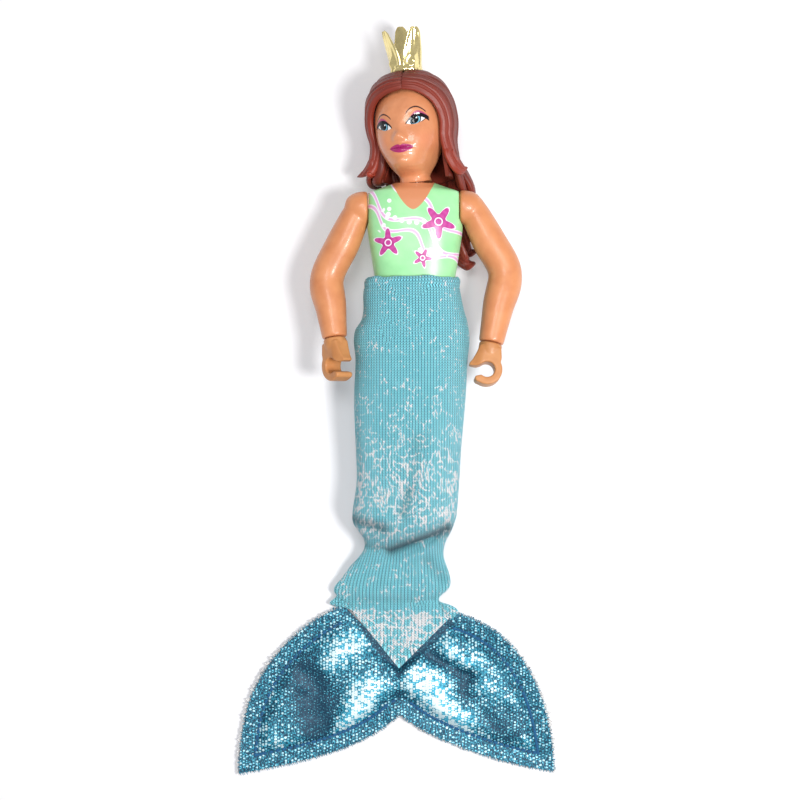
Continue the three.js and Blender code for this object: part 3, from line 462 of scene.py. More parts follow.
world = bpy.data.worlds.new("world")
world.use_nodes = True
background = world.node_tree.nodes["Background"]
background.inputs["Color"].default_value = studio["world"]
background.inputs["Strength"].default_value = studio["worldStrength"]
bpy.context.scene.world = world
bpy.context.scene.view_settings.view_transform = "Standard"


def areaLight(name, place, size, watts):
    data = bpy.data.lights.new(name, "AREA")
    data.shape = "DISK"
    data.size = size
    data.energy = watts
    lamp = linked(name, data)
    lamp.location = place
    lamp.rotation_euler = (-Vector(place)).to_track_quat("-Z", "Y").to_euler()


areaLight("key", studio["keyPlace"], studio["keySize"], studio["keyPower"])
areaLight("top", studio["topPlace"], studio["topSize"], studio["topPower"])
print("floor and light ready")


# Plain plastics and metals
def cloudy(flow, scale, deep, base):  # a colour with faint wide patches
    return flow.noise(flow.place(), scale, 3.0).step(0.2, 0.75).paint(deep, base)


def fineGrain(flow):
    return flow.noise(flow.place(), 2400, 2.0)


def uneven(roughness, grain):
    return roughness + (grain - 0.5) * 0.14


def plastic(name, base, deep, roughness, coat=0.15):
    material, flow = newMaterial(name)
    grain = fineGrain(flow)
    shade(flow, {
        "Base Color": cloudy(flow, 260, deep, base),
        "Roughness": uneven(roughness, grain),
        "Coat Weight": coat,
        "Coat Roughness": 0.12,
        "Normal": flow.bump(grain, 0.00003),
    })
    return material


def metal(name, base, roughness):
    material, flow = newMaterial(name)
    grain = flow.noise(flow.place(), 900, 4.0)
    worn = [0.86 * part for part in base[:3]] + [1]
    shade(flow, {
        "Base Color": grain.step(0.3, 0.7).paint(worn, base),
        "Metallic": 0.78,
        "Roughness": roughness + (grain - 0.5) * 0.12,
        "Normal": flow.bump(grain, 0.00002),
    })
    return material


skinPlastic = plastic("skin plastic", colour(222, 148, 98), colour(208, 131, 83), 0.4)
handPlastic = plastic("hand plastic", colour(208, 143, 86), colour(192, 126, 72), 0.48, 0.05)
mintPlastic = plastic("mint plastic", colour(168, 234, 168), colour(152, 222, 156), 0.4)
goldPlating = metal("gold plating", colour(252, 234, 164), 0.13)
pinSteel = metal("pin steel", colour(184, 186, 190), 0.35)


# Face paint, with x and y in millimetres over the front of the head
face = {
    "middle": 0.2,  # the face's middle line
    "eyeAway": 3.9,  # from the middle line
    "eyeHeight": 13.1,
    "iris": 1.1,
    "pupil": 0.84,
    "glint": 0.17,
    "browHeight": 16.22,
    "mouthHeight": 7.12,
    "mouthHalf": 2.95,
}


def faceMaterial():
    material, flow = newMaterial("face")
    across, y, _ = flow.pattern().split()
    x = across - face["middle"]
    side = x.own("SIGN")
    ex = x.size() - face["eyeAway"]
    rightSide = 1 - x.step(-0.6, 0.6)
    ey = y - face["eyeHeight"] - ex * 0.28 + rightSide * 0.62
    lid = 1.18 - ex * ex * 0.25
    lowLid = ex * ex * 0.19
    eye = (lid - ey).least(ey + 0.9 - lowLid).step(0.0, 0.14)
    dx = x - side * face["eyeAway"]
    irisAway = distance(dx + 0.05, ey - 0.1)
    pupilAway = distance(dx + 0.18, ey - 0.1)
    glintAway = distance(dx - 0.2, ey - 0.5)
    lashWide = 0.24 + (ex + 2) * 0.065
    lash = (ey - lid).size().under(lashWide, 0.07) * ex.under(2.55, 0.12) * ex.step(-2.3, -2.1)
    lowLash = (ey + 0.95 - lowLid).size().under(0.1, 0.05) * ex.step(0.7, 1.5) * ex.under(2.4, 0.2)
    shadowTop = lid + 1.1 - (ex - 0.9) ** 2 * 0.17
    shadow = (shadowTop - ey).step(0.0, 0.35) * (ey - lid).step(-0.1, 0.1)
    shadow = shadow * ex.step(-1.7, -0.9) * ex.under(2.5, 0.2)
    browLine = face["browHeight"] - (ex - 0.15) ** 2 * 0.31 - rightSide * 0.8
    browSlope = ((ex - 0.15) ** 2 * 0.38 + 1) ** 0.5
    browWide = 0.19 - (ex - 0.1).size() * 0.045
    brow = ((y - browLine).size() / browSlope).under(browWide, 0.05)
    brow = brow * ex.step(-2.15, -1.9) * ex.under(2.1, 0.15)
    away = (x - 0.3).size()
    arch = (1 - (away / 3.0) ** 2).most(0.0)
    dip = (away * away * -8.0).own("EXPONENT")
    lipTop = face["mouthHeight"] + arch * 0.76 - dip * 0.32
    lipLow = face["mouthHeight"] - arch ** 0.8 * 1.38
    lips = (lipTop - y).step(0.0, 0.12) * (y - lipLow).step(0.0, 0.12)
    lips = lips * away.under(face["mouthHalf"], 0.06)
    crease = (y - face["mouthHeight"] + 0.14 - arch * 0.06).size().under(0.09, 0.08)
    grain = fineGrain(flow)
    blush = distance(away - 5.2, y - 8.6).under(1.8, 1.6)
    skin = cloudy(flow, 240, colour(213, 137, 92), colour(225, 150, 103))
    skin = (blush * 0.25).paint(skin, colour(222, 122, 92))
    skin = (shadow * 0.9).paint(skin, colour(168, 40, 112))
    iris = irisAway.step(0.7, 1.2).paint(colour(140, 208, 228), colour(48, 132, 165))
    look = irisAway.under(face["iris"], 0.06).paint(colour(250, 250, 248), iris)
    look = (irisAway - face["iris"]).size().under(0.1, 0.05).paint(look, colour(10, 14, 20))
    look = pupilAway.under(face["pupil"], 0.05).paint(look, colour(2, 2, 3))
    look = glintAway.under(face["glint"], 0.05).paint(look, colour(255, 255, 255))
    dark = (eye * irisAway.under(1.2, 0.1)).most(lash)
    paint = eye.paint(skin, look)
    paint = lash.most(lowLash).paint(paint, colour(18, 10, 16))
    paint = brow.paint(paint, colour(52, 20, 20))
    lipColour = (crease * 0.7).paint(colour(172, 36, 104), colour(128, 20, 76))
    paint = lips.paint(paint, lipColour)
    shade(flow, {
        "Base Color": paint,
        "Roughness": uneven(0.38 - lips * 0.1 - dark * 0.3, grain),
        "Coat Weight": 0.5 - dark * 0.5,
        "Coat Roughness": 0.12,
        "Normal": flow.bump(grain * 0.4 + flow.noise(flow.place(), 620, 2.0) * 2.2, 0.00006),
    })
    return material


# Printed top: a skin neckline, starfish, pearls and ribbons
printed = {
    "neckline": 28.9,
    "ribbons": [  # turn, height, swing, pace and phase of each wave
        (0.55, 21.4, 1.9, 0.42, 0.4),
        (0.55, 18.6, 1.5, 0.55, 2.2),
        (0.7, 24.2, 1.3, 0.48, 4.0),
    ],
    "starfish": [  # middle, radius and turn
        (5.4, 26.0, 4.3, 0.3),
        (-6.3, 21.2, 3.6, 0.9),
        (1.7, 17.6, 2.5, 0.1),
    ],
    "pearls": [  # middle and radius of the arc, its first and last angle, spacing and pearl radius
        (0.0, 36.6, 10.8, -2.35, -1.35, 1.75, 0.56),
        (2.0, 6.0, 13.4, 1.15, 1.75, 2.3, 0.62),
        (-15.0, 30.0, 9.0, -0.75, 0.2, 2.0, 0.5),
    ],
}


def printedTop():
    material, flow = newMaterial("printed top")
    x, y, _ = flow.pattern().split()
    grain = fineGrain(flow)
    cloth = cloudy(flow, 230, colour(154, 224, 158), colour(172, 238, 172))
    neck = (y - printed["neckline"] - (x + 0.5).size() ** 1.7 * 0.42).step(-0.06, 0.06)
    pink, pale = colour(236, 178, 222), colour(250, 240, 250)
    for turn, offset, swing, pace, phase in printed["ribbons"]:
        run = x * math.cos(turn) - y * math.sin(turn)
        rise = x * math.sin(turn) + y * math.cos(turn)
        wave = (rise - offset - (run * pace + phase).own("SINE") * swing).size()
        cloth = wave.under(0.52, 0.06).paint(cloth, pale)
        cloth = wave.under(0.24, 0.06).paint(cloth, pink)
    cloth = neck.paint(cloth, colour(214, 140, 96))
    for cx, cy, radius, turn in printed["starfish"]:
        dx, dy = x - cx, y - cy
        away = distance(dx, dy)
        angle = dy.maths("ARCTAN2", dy, dx) * 5 + turn * 5
        lobe = angle.own("COSINE") * 0.5 + 0.5
        edge = away / (lobe ** 1.6 * 0.56 + 0.44)
        ray = (away * 5.2).own("SINE") * 0.5 + 0.5
        body = (ray * 0.35 + lobe * 0.4).paint(colour(176, 44, 128), colour(214, 84, 170))
        cloth = edge.under(radius, 0.08).paint(cloth, pale)
        cloth = edge.under(radius - 0.34, 0.06).paint(cloth, body)
        cloth = (away - radius * 0.2).size().under(0.13, 0.05).paint(cloth, pale)
    for cx, cy, radius, low, high, gapLength, size in printed["pearls"]:
        dx, dy = x - cx, y - cy
        away = distance(dx, dy)
        angle = dy.maths("ARCTAN2", dy, dx)
        cell = angle * (radius / gapLength)
        along = (cell.own("FRACT") - 0.5) * gapLength
        pearl = distance(along, away - radius)
        inside = angle.step(low - 0.02, low) * (1 - angle.step(high, high + 0.02))
        cloth = (pearl.under(size, 0.07) * inside).paint(cloth, colour(250, 250, 250))
        lit = distance(along, away - radius - 0.15)
        shine = lit.under(size * 0.35, 0.2) * inside
        cloth = (shine * 0.35).paint(cloth, colour(205, 205, 215))
    shade(flow, {
        "Base Color": cloth,
        "Roughness": uneven(0.38, grain),
        "Coat Weight": 0.25,
        "Coat Roughness": 0.28,
        "Normal": flow.bump(grain, 0.00003),
    })
    return material


# Moulded hair: the UV map runs across and along each lock, in millimetres
def hairMaterial():
    material, flow = newMaterial("hair plastic")
    across, along, _ = flow.pattern().split()
    groove = flow.noise(flow.joined(across * 2.6, along * 0.12), 1.0, 4.0)
    fine = (across * 9.0 + groove * 5.0).own("SINE") * 0.5 + 0.5
    cloud = flow.noise(flow.place(), 320, 3.0)
    warm = flow.painted("warmth")
    base = (fine * 0.5 + cloud * 0.5).paint(colour(86, 30, 20), colour(134, 50, 34))
    base = warm.paint(base, colour(166, 56, 32))
    shade(flow, {
        "Base Color": base,
        "Roughness": 0.46 + (groove - 0.5) * 0.3,
        "Coat Weight": 0.1,
        "Coat Roughness": 0.3,
        "Normal": flow.bump(fine * 0.6 + groove, 0.00012),
    })
    return material


# Knit: the UV map counts wales across and courses along
knit = {
    "wale": 0.7,
    "course": 0.6,
    "top": 13.4,
    "stretched": 0.14,  # mm that a wale is wider near the fin
    "middleWale": 100,  # the number of the wale at x = 0, so that none is below 0
    "bandCourses": 12,  # courses round the waistband
    "bandFirst": -200,  # its course numbers start here, away from the foil's bands
    "foilBands": [  # the foil gets denser by a share between two heights, and stays so below
        (-6, -20, 0.06),
        (-22, -34, 0.1),
        (-45, -52, -0.13),
        (-65.6, -67, 0.17),
    ],
}


def courseAt(y):
    return (knit["top"] - y) / knit["course"]


def knitMaterial():
    material, flow = newMaterial("knit with foil")
    wale, course, _ = flow.pattern().split()
    leg = (wale.own("FRACT") - 0.5).size() * 2  # 0 in the middle of a wale, 1 at its edge
    slanted = course + leg * 0.85
    turn = (slanted.own("FRACT") * 2 - 1).size()
    ridge = 1 - leg.step(0.5, 1.0) * 0.8 - leg.under(0.14, 0.1) * 0.1
    yarn = ridge * (1 - turn.step(0.35, 0.95) * 0.8)
    across, along = wale * knit["wale"], course * knit["course"]
    where = flow.joined(across, along)
    warp = flow.noise(where, 1.1, 1.0) - 0.5
    net = flow.make(
        "TexVoronoi",
        {"feature": "DISTANCE_TO_EDGE"},
        {"Vector": flow.joined(across + warp * 0.8, along), "Scale": 0.5, "Randomness": 0.75},
    )
    clump = flow.noise(where, 0.26, 2.0)
    ragged = flow.noise(where, 2.6, 1.0)
    stitch = flow.random((wale * 2).own("FLOOR"), slanted.own("FLOOR"))
    reach = (clump - 0.5) * 0.5 + (ragged - 0.5) * 0.35 + (stitch - 0.5) * 0.3 - 0.1
    for start, end, denser in knit["foilBands"]:
        reach = reach + course.step(courseAt(start), courseAt(end)) * denser
    foil = (reach - net).step(0.0, 0.04) * yarn.step(0.05, 0.25)
    crease = flow.painted("crease")
    tone = flow.noise(where, 0.5, 2.0)
    deep = tone.paint(colour(14, 78, 100), colour(24, 96, 120))
    light = tone.paint(colour(124, 226, 240), colour(154, 242, 252))
    # painted shade: the yarn is painted darker at the edges of each wale and where its loops turn, and the
    # foil greyer there, as shade between the stitches
    shadedYarnColour = yarn.step(0.05, 0.6).paint(deep, light)
    # painted shade: the crease value darkens the yarn and the foil along the tail's creases
    shadedYarnColour = (crease * 0.9).paint(shadedYarnColour, colour(20, 76, 92))
    shadedFoilColour = yarn.step(0.0, 0.4).paint(colour(176, 186, 188), colour(255, 255, 255))
    shadedFoilColour = (crease * 0.75).paint(shadedFoilColour, colour(88, 122, 130))
    shade(flow, {
        "Base Color": foil.paint(shadedYarnColour, shadedFoilColour),
        "Roughness": 0.85 - foil * 0.4,
        "Normal": flow.bump(yarn, 0.0003),
        "Sheen Weight": 0.25,
    })
    return material


# Fin cloth: metal threads in fine columns, seen from above in the object's own place, with painted
# highlights and shade that follow the folds
def lameMaterial():
    material, flow = newMaterial("blue lame")
    x, y, _ = flow.place().split()
    column = x * 1280.0
    row = y * 1420.0 + column.own("FLOOR") * 0.5
    spark = flow.random(column.own("FLOOR"), row.own("FLOOR"))
    across = column.own("FRACT") - 0.25 - spark * 0.5
    along = row.own("FRACT") - 0.7 + (spark * 7.0).own("FRACT") * 0.4
    # painted highlights and shade: the fold value makes the threads' glints larger and whiter and the
    # cloth lighter on high folds, and the cloth darker navy on low ones
    paintedFoldLight = flow.painted("paintedFoldLight")
    reach = paintedFoldLight * (spark * 0.9 + 0.06) + 0.11
    glint = (reach * reach - across * across - along * along * 1.3).step(-0.01, 0.05)
    fine = flow.noise(flow.joined(x * 2.6, y), 1500, 1.0)
    ribs = (x * 2700.0 * math.tau).own("SINE") * 0.5 + 0.5
    lit = (paintedFoldLight * 1.1 + (fine - 0.5) * 2.2 - 0.3 + ribs * 0.15).step(0.0, 0.85)
    base = lit.paint(colour(8, 58, 82), colour(66, 184, 214))
    bright = (paintedFoldLight * 1.1 + spark * 0.6 - 0.5 - ribs * 0.25).step(0.0, 0.6)
    bright = bright.paint(colour(104, 212, 236), colour(232, 254, 255))
    shade(flow, {
        "Base Color": glint.paint(base, bright),
        "Metallic": 0.2,
        "Roughness": 0.6 - spark * 0.15,
        "Normal": flow.bump(glint * 0.6 + fine, 0.0001),
    })
    return material


def threadMaterial(name, light, deep):
    material, flow = newMaterial(name)
    fibre = flow.noise(flow.place(), 3000, 3.0)
    shade(flow, {
        "Base Color": fibre.step(0.3, 0.7).paint(deep, light),
        "Roughness": 0.8,
        "Sheen Weight": 0.3,
        "Normal": flow.bump(fibre, 0.00005),
    })
    return material


def liningMaterial():
    material, flow = newMaterial("lining cloth")
    x, y, _ = flow.place().split()
    weave = (x * 9000.0).own("SINE") * (y * 9000.0).own("SINE")
    shade(flow, {
        "Base Color": (weave * 0.5 + 0.5).paint(colour(206, 204, 202), colour(236, 234, 230)),
        "Roughness": 0.9,
        "Normal": flow.bump(weave, 0.00005),
    })
    return material


facePaint = faceMaterial()
topPrint = printedTop()
hairPlastic = hairMaterial()
knitCloth = knitMaterial()
lameCloth = lameMaterial()
liningCloth = liningMaterial()
stitchThread = threadMaterial("stitch thread", colour(12, 100, 146), colour(6, 68, 110))
blueFringe = threadMaterial("blue fringe", colour(76, 164, 190), colour(30, 92, 120))
paleFringe = threadMaterial("pale fringe", colour(240, 238, 234), colour(214, 210, 206))
print("materials ready")


# Torso: two moulded halves that meet at the sides
torso = {
    "rows": [  # height, half width, front and back reach
        [35.9, 4.5, 4.1, 4.1],
        [34.8, 7.4, 4.9, 4.9],
        [33.5, 10.65, 5.6, 5.5],
        [31.0, 11.35, 6.4, 6.0],
        [25.0, 11.25, 7.2, 6.0],
        [16.4, 10.0, 6.5, 5.8],
        [12.4, 9.5, 6.2, 5.8],
        [6.8, 10.4, 6.6, 6.2],
    ],
    "square": 2.5,
    "seam": 0.06,  # half the gap between the halves
    "seamEdge": 0.14,
    "armholeY": 31.0,
    "armholeRadius": 5.2,
    "armholeLeft": 10.25,
    "armholeRight": 10.95,
    "neckDrop": 0.55,  # mm that the front of the neckline lies lower
    "chest": (0.35, 4.6, 3.4, 26.5, 3.2),  # rise, place and width across, place and width along
}


def torsoPoint(angle, share):
    rows = torso["rows"]
    y = rows[-1][0] + (rows[0][0] - rows[-1][0]) * (1 - (1 - share) ** 1.5)
    half, front, back = readTable(rows, y)
    across, out = math.cos(angle), math.sin(angle)
    x, z = ringPoint(across, out, half, front, back, torso["square"])
    if out > 0:
        z += reliefAt([torso["chest"]], abs(x), y)
    away = math.hypot(y - torso["armholeY"], z)
    held = 1 - smooth(away, torso["armholeRadius"], torso["armholeRadius"] + 0.5)
    wall = torso["armholeLeft"] if x > 0 else torso["armholeRight"]
    if abs(x) > wall:
        x = math.copysign(abs(x) + (wall - abs(x)) * held, x)
    y -= torso["neckDrop"] * smooth(z, 0, 4.5) * smooth(y, 33.5, doll["torsoTop"])
    return (x, y, doll["bodyHeight"] + z)


def torsoHalf(side):
    bm = tube(220, 120, torsoPoint)
    closeEnds(bm)
    level = doll["bodyHeight"] + side * torso["seam"]
    everything = bm.verts[:] + bm.edges[:] + bm.faces[:]
    onPlane, normal = (0, 0, level), (0, 0, side)
    bmesh.ops.bisect_plane(bm, geom=everything, plane_co=onPlane, plane_no=normal, clear_inner=True)
    closeEnds(bm)
    rim = [e for e in bm.edges if all(abs(v.co.z - level) < 1e-4 for v in e.verts)]
    rounded(bm, rim, torso["seamEdge"], 2)
    addUv(bm, lambda vert, angle, share: (vert.co.x, vert.co.y))
    return bm


finished(torsoHalf(1), "torso_front_shell", topPrint, "torso", ["torso_front"])
finished(torsoHalf(-1), "torso_back_shell", mintPlastic, "torso", ["torso_back"])
print("torso ready")


# Head with its neck, and the peg that holds it
head = {
    "rows": [  # height, half width, front and back reach, from the neck up
        [0.15, 3.8, 3.8, 3.8],
        [0.6, 3.65, 3.7, 3.7],
        [1.3, 3.5, 4.0, 3.6],
        [1.8, 3.6, 5.4, 3.8],
        [2.3, 3.9, 7.0, 4.0],
        [3.0, 4.4, 8.4, 4.3],
        [4.1, 5.15, 9.1, 4.8],
        [5.8, 6.1, 9.35, 5.5],
        [7.8, 7.1, 9.35, 6.2],
        [10.0, 7.8, 9.25, 6.8],
        [12.4, 8.15, 9.15, 7.1],
        [15.0, 8.1, 9.0, 7.2],
        [17.8, 7.7, 8.5, 7.0],
        [20.4, 6.6, 7.2, 6.0],
        [22.2, 4.9, 5.2, 4.4],
        [23.2, 2.9, 3.0, 2.6],
        [23.6, 0.6, 0.6, 0.6],
    ],
    "square": 2.25,
    "relief": [  # rise, place and width away from the middle line, place and width up the face
        (1.35, 0, 1.15, 9.7, 1.2),  # nose
        (0.22, 0, 1.1, 11.7, 1.7),
        (0.45, 1.15, 0.6, 9.2, 0.7),
        (0.5, 0, 2.3, 7.5, 0.55),  # lips
        (0.5, 0, 2.3, 6.3, 0.6),
        (-0.25, 0, 2.6, 6.98, 0.22),
        (0.75, 0, 2.0, 3.9, 1.2),  # chin
        (0.35, 4.6, 2.2, 8.8, 2.4),  # cheeks
        (-0.5, 3.8, 1.9, 13.0, 1.6),  # eye sockets, eyes and brows
        (0.22, 3.9, 1.4, 13.1, 0.9),
        (0.25, 3.9, 2.4, 15.6, 1.1),
    ],
    "peg": [(0, 0.6), (2.3, 0.6), (2.3, -2.1), (3.4, -2.1), (3.4, -3.3), (0, -3.3)],
}


def facePoint(angle, share):
    y, half, front, back = alongCurve(head["rows"], share)
    across, out = math.cos(angle), math.sin(angle)
    x, z = ringPoint(across, out, half, front, back, head["square"])
    relief = reliefAt(head["relief"], abs(x - face["middle"]), y)
    y -= torso["neckDrop"] * smooth(z, 0, 3.8) * (1 - smooth(y, 0.4, 2.0))
    return (x, y, z + relief * smooth(z, 2.5, 5.0))


headBm = tube(200, 170, facePoint)
closeEnds(headBm)
addUv(headBm, lambda vert, angle, share: (vert.co.x, vert.co.y))
headBm.transform(tiltPlace)
addTo(headBm, turnedSolid(head["peg"], 48), headPlace)
finished(headBm, "head_painted", facePaint, "head", ["head"], Matrix.Identity(4))
print("head ready")


# Hair: an under-layer round the head and behind the back, and locks that lie on it
hair = {
    "rows": [  # height over the torso's top, half width, front and back reach
        [25.2, 4.4, 4.4, 4.4],
        [24.2, 6.8, 7.0, 7.0],
        [22.2, 8.8, 8.9, 9.4],
        [19.0, 10.1, 10.1, 11.2],
        [15.0, 10.7, 9.6, 12.0],
        [12.5, 10.6, 8.6, 12.1],
        [10.0, 10.0, 7.6, 12.2],
        [6.0, 10.1, 6.6, 12.2],
        [2.0, 10.4, 6.0, 12.2],
        [-4.0, 11.0, 6.0, 12.3],
        [-22.0, 11.6, 6.0, 12.4],
    ],
    "square": 2.1,
    "window": 9.3,  # half width of the face opening
    "windowTop": 22.8,
    "windowDrop": 6.0,  # how much lower the opening's corners are
    "wall": 0.9,
    "stationLength": 4.5,  # mm of the pattern between two points of a lock
    "cap": {"top": 24.6, "drop": 23.8, "inset": 1.7},
    "nape": {"low": -17.5, "height": 24, "halfTurn": 36, "radius": 11.3},
    "locks": [  # points of angle from the front, height and lift; half width, half depth, warmth
        ([(11, 22.4, 0), (34, 21.8, 0), (58, 19.2, 0), (70, 15.9, 0), (75, 11.5, 0), (79, 7.6, 0),
          (84, 4.8, 0.2), (92, 2.9, 0.8), (100, 2.2, 1.7), (105, 2.7, 2.5)], 2.0, 1.0, 0.75),
        ([(9, 22.4, 0), (-16, 22.0, 0), (-42, 20.1, 0), (-59, 16.2, 0), (-65, 11.5, 0), (-70, 7.4, 0.3),
          (-76, 5.0, 1.2), (-82, 3.5, 2.9), (-90, 3.1, 4.7)], 1.9, 1.0, 0.6),
        ([(-56, 11.0, -1.2), (-62, 7.6, -0.4), (-68, 4.6, 0.4), (-66, 2.8, 1.6),
          (-58, 2.0, 2.0)], 1.3, 1.0, 0.9),
        ([(11, 23.4, 0), (46, 22.3, 0), (76, 18.9, 0), (86, 14.0, 0), (91, 8.0, 0), (98, 4.6, 0),
          (112, 2.2, 0.2), (128, 0.0, 0.6)], 2.5, 1.0, 0.2),
        ([(9, 23.4, 0), (-30, 22.5, 0), (-70, 19.1, 0), (-82, 14.0, 0), (-86, 8.0, 0.2), (-90, 4.8, 1.2),
          (-95, 2.4, 2.0), (-102, 0.8, 2.2), (-112, 0.0, 1.6)], 2.5, 1.0, 0.2),
        ([(11, 24.2, 0), (66, 23.1, 0), (98, 19.0, 0), (104, 13.0, 0), (108, 6.0, 0), (118, 1.0, 0.6),
          (132, -3.0, 2.0), (142, -6.0, 2.6)], 2.8, 1.2, 0.1),
        ([(9, 24.2, 0), (-60, 23.2, 0), (-98, 19.0, 0), (-106, 13.0, 0), (-112, 6.0, 0.2),
          (-126, 1.8, -0.2), (-146, -0.4, -1.0), (-162, -3.0, -1.2)], 2.8, 1.2, 0.1),
        ([(11, 24.8, 0), (100, 23.7, 0), (122, 18.7, 0), (128, 12.0, 0), (132, 4.0, 0), (138, -2.0, 0),
          (142, -8.0, 0.6), (142, -12.5, 2.2), (141, -15.6, 4.0), (135, -15.4, 5.4)], 3.0, 1.2, 0.15),
        ([(-70, 12.0, -1.6), (-76, 7.0, -1.3), (-83, 4.2, -0.9), (-91, 1.9, 0.2),
          (-104, 0.5, 0.4)], 2.6, 1.5, 0.1),
        ([(-124, 6.0, -0.6), (-130, 2.0, -1.4), (-144, -0.2, -1.9), (-156, -2.0, -2.0)], 3.0, 1.5, 0.1),
        ([(9, 24.8, 0), (-100, 23.7, 0), (-124, 18.7, 0), (-132, 12.0, 0), (-138, 4.0, 0), (-144, -4.0, 0),
          (-148, -12.0, 0)], 3.0, 1.2, 0.1),
        ([(150, 24.8, 0), (146, 21.6, 0), (150, 14.0, 0), (154, 4.0, 0), (152, -5.0, 0), (148, -11.0, 0.2),
          (144, -16.0, 1.4), (140, -18.6, 3.2), (134, -18.4, 4.6)], 3.1, 1.1, 0.25),
        ([(-150, 24.8, 0), (-148, 21.6, 0), (-154, 14.0, 0), (-160, 4.0, 0), (-160, -6.0, 0),
          (-157, -15.0, 0)], 3.1, 1.1, 0.1),
        ([(178, 24.7, 0), (176, 21.6, 0), (174, 14.0, 0), (174, 4.0, 0), (172, -6.0, 0), (168, -14.0, 0),
          (160, -19.0, 0.2), (152, -20.2, 1.6)], 3.2, 1.0, 0.1),
        ([(176, 8.0, -0.2), (182, 0.0, 0), (184, -8.0, 0), (180, -15.0, 0),
          (172, -19.6, 0)], 2.6, 1.0, 0.1),
        ([(126, -4.0, -0.4), (132, -8.0, 0.8), (136, -11.0, 3.2), (130, -12.6, 4.6),
          (126, -11.4, 5.6)], 1.6, 0.9, 0.35),
        ([(104, 8.0, -0.8), (115, 4.4, 0.2), (122, 1.6, 1.9), (127, -1.0, 3.3), (136, -3.5, 4.0),
          (144, -7.0, 3.8), (146, -11.0, 3.2), (143, -15.0, 3.2)], 2.4, 1.1, 0.3),
    ],
}


def tilted(point):  # leans with the head, less and less from the chin down
    angle = math.radians(doll["headTilt"]) * smooth(point.y, -3, 5)
    centre = doll["tiltCentre"]
    x, y = point.x, point.y - centre
    cosine, sine = math.cos(angle), math.sin(angle)
    return Vector((x * cosine - y * sine, x * sine + y * cosine + centre, point.z))


def hairPoint(turn, y):
    half, front, back = readTable(hair["rows"], min(y, 26))
    across, out = math.sin(turn), math.cos(turn)
    reach = front if out > 0 else back
    if y < 6:
        reach = front + (back - front) * (1 - smooth(out, -0.5, 0.5))
    x, z = ringPoint(across, out, half, reach, reach, hair["square"])
    return Vector((x, y, z))


def outward(point):
    centre = Vector((0, min(point.y, 14) + 0.35 * max(point.y - 14, 0), -1))
    return (point - centre).normalized()


def lockBm(points, halfWidth, halfDepth, warmth):
    length = len(points) - 1

    def guide(share):
        turn, y, lift = alongCurve(points, min(max(share, 0), 1))
        point = hairPoint(math.radians(turn), y)
        return point + outward(point) * (lift - halfDepth * 0.8)

    def shape(angle, share):
        middle = guide(share)
        along = (guide(share + 0.01) - guide(share - 0.01)).normalized()
        out = outward(middle)
        side = along.cross(out).normalized()
        out = side.cross(along)
        taper = smooth(share, -0.3, 0.12) * (1 - smooth(share, 0.72, 1.04) * 0.93)
        across = math.cos(angle)
        ridge = 1 + 0.16 * math.cos(across * 9.4) * (1 - across * across)
        wide = halfWidth * taper * across
        deep = halfDepth * (0.35 + 0.65 * taper) * math.sin(angle) * ridge * (taper > 0.05 or 0.4)
        return tilted(middle + side * wide + out * deep)

    bm = tube(26, 12 * length, shape)
    closeEnds(bm)
    patternLength = length * hair["stationLength"]
    addUv(bm, lambda vert, angle, share: (math.cos(angle) * halfWidth, share * patternLength))
    layer = bm.verts.layers.float.new("warmth")
    station = bm.verts.layers.float_vector["station"]
    for vert in bm.verts:
        vert[layer] = warmth * (0.35 + 0.65 * vert[station][1])
    facingOut(bm)
    return bm


def capBm():
    cap = hair["cap"]

    def shape(angle, share):
        y = cap["top"] - cap["drop"] * (1 - share) ** 0.8
        point = hairPoint(math.pi / 2 - angle, y)
        return tilted(point - outward(point) * cap["inset"])

    bm = tube(120, 70, shape)
    station = bm.verts.layers.float_vector["station"]
    windowVerts = [
        vert for vert in bm.verts
        if vert.co.z > 1.0
        and abs(vert.co.x) < hair["window"]
        and vert.co.y < hair["windowTop"] - hair["windowDrop"] * (vert.co.x / hair["window"]) ** 2
    ]
    bmesh.ops.delete(bm, geom=windowVerts, context="VERTS")
    top = [e for e in bm.edges if e.is_boundary and all(v[station][1] > 0.99 for v in e.verts)]
    bmesh.ops.holes_fill(bm, edges=top, sides=0)
    return walled(bm, hair["wall"])


def napeBm():
    nape = hair["nape"]

    def shape(u, v):
        turn = math.radians(180 + nape["halfTurn"] - 2 * nape["halfTurn"] * u)
        across, out = math.sin(turn) * nape["radius"], math.cos(turn) * nape["radius"]
        return tilted(Vector((across, nape["low"] + nape["height"] * v, out)))

    return walled(sheetGrid(48, 40, shape), hair["wall"])


hairBm = bmesh.new()
for lock in hair["locks"]:
    addTo(hairBm, lockBm(*lock))
for layerBm in (capBm(), napeBm()):
    layerBm.loops.layers.uv.new("pattern")
    layerBm.verts.layers.float.new("warmth")
    addTo(hairBm, layerBm)
fromHead = headPlace.inverted()
for vert in hairBm.verts:  # the back strands rest on the floor
    point = headPlace @ vert.co
    point.z = max(point.z, 0.0001)
    vert.co = fromHead @ point
finished(hairBm, "hair_moulded", hairPlastic, "head", ["hair"], headPlace)
print("hair ready")


# Crown: four flaring petals on a ring
crown = {
    "seat": 25.8,
    "height": 10.3,
    "foot": 3.5,
    "thickness": 0.34,
    "petals": [  # degrees from the front, height and radius at the tip
        (-43, 10.2, 5.2),
        (47, 10.0, 5.9),
        (152, 9.6, 2.8),
        (-153, 12.8, 4.4),
    ],
    "spread": 43,  # half the width of a petal's foot, in degrees
    "ring": [  # radius and height of the moulded ring
        (3.0, 0.15), (3.7, 0.15), (3.9, 0.45), (3.9, 0.85), (3.7, 1.1),
        (3.75, 1.6), (3.65, 1.8), (3.0, 1.8), (3.0, 0.15),
    ],
    "pin": [(0, 1.5), (3.2, 1.5), (3.2, 0.2), (1.1, 0.2), (1.1, -1.9), (0, -1.9)],
}


def crownRadius(y, flare):
    share = y / crown["height"]
    return crown["foot"] + 0.25 * bumpAt(y - 0.6, 0.5) + (flare - crown["foot"]) * share ** 1.6


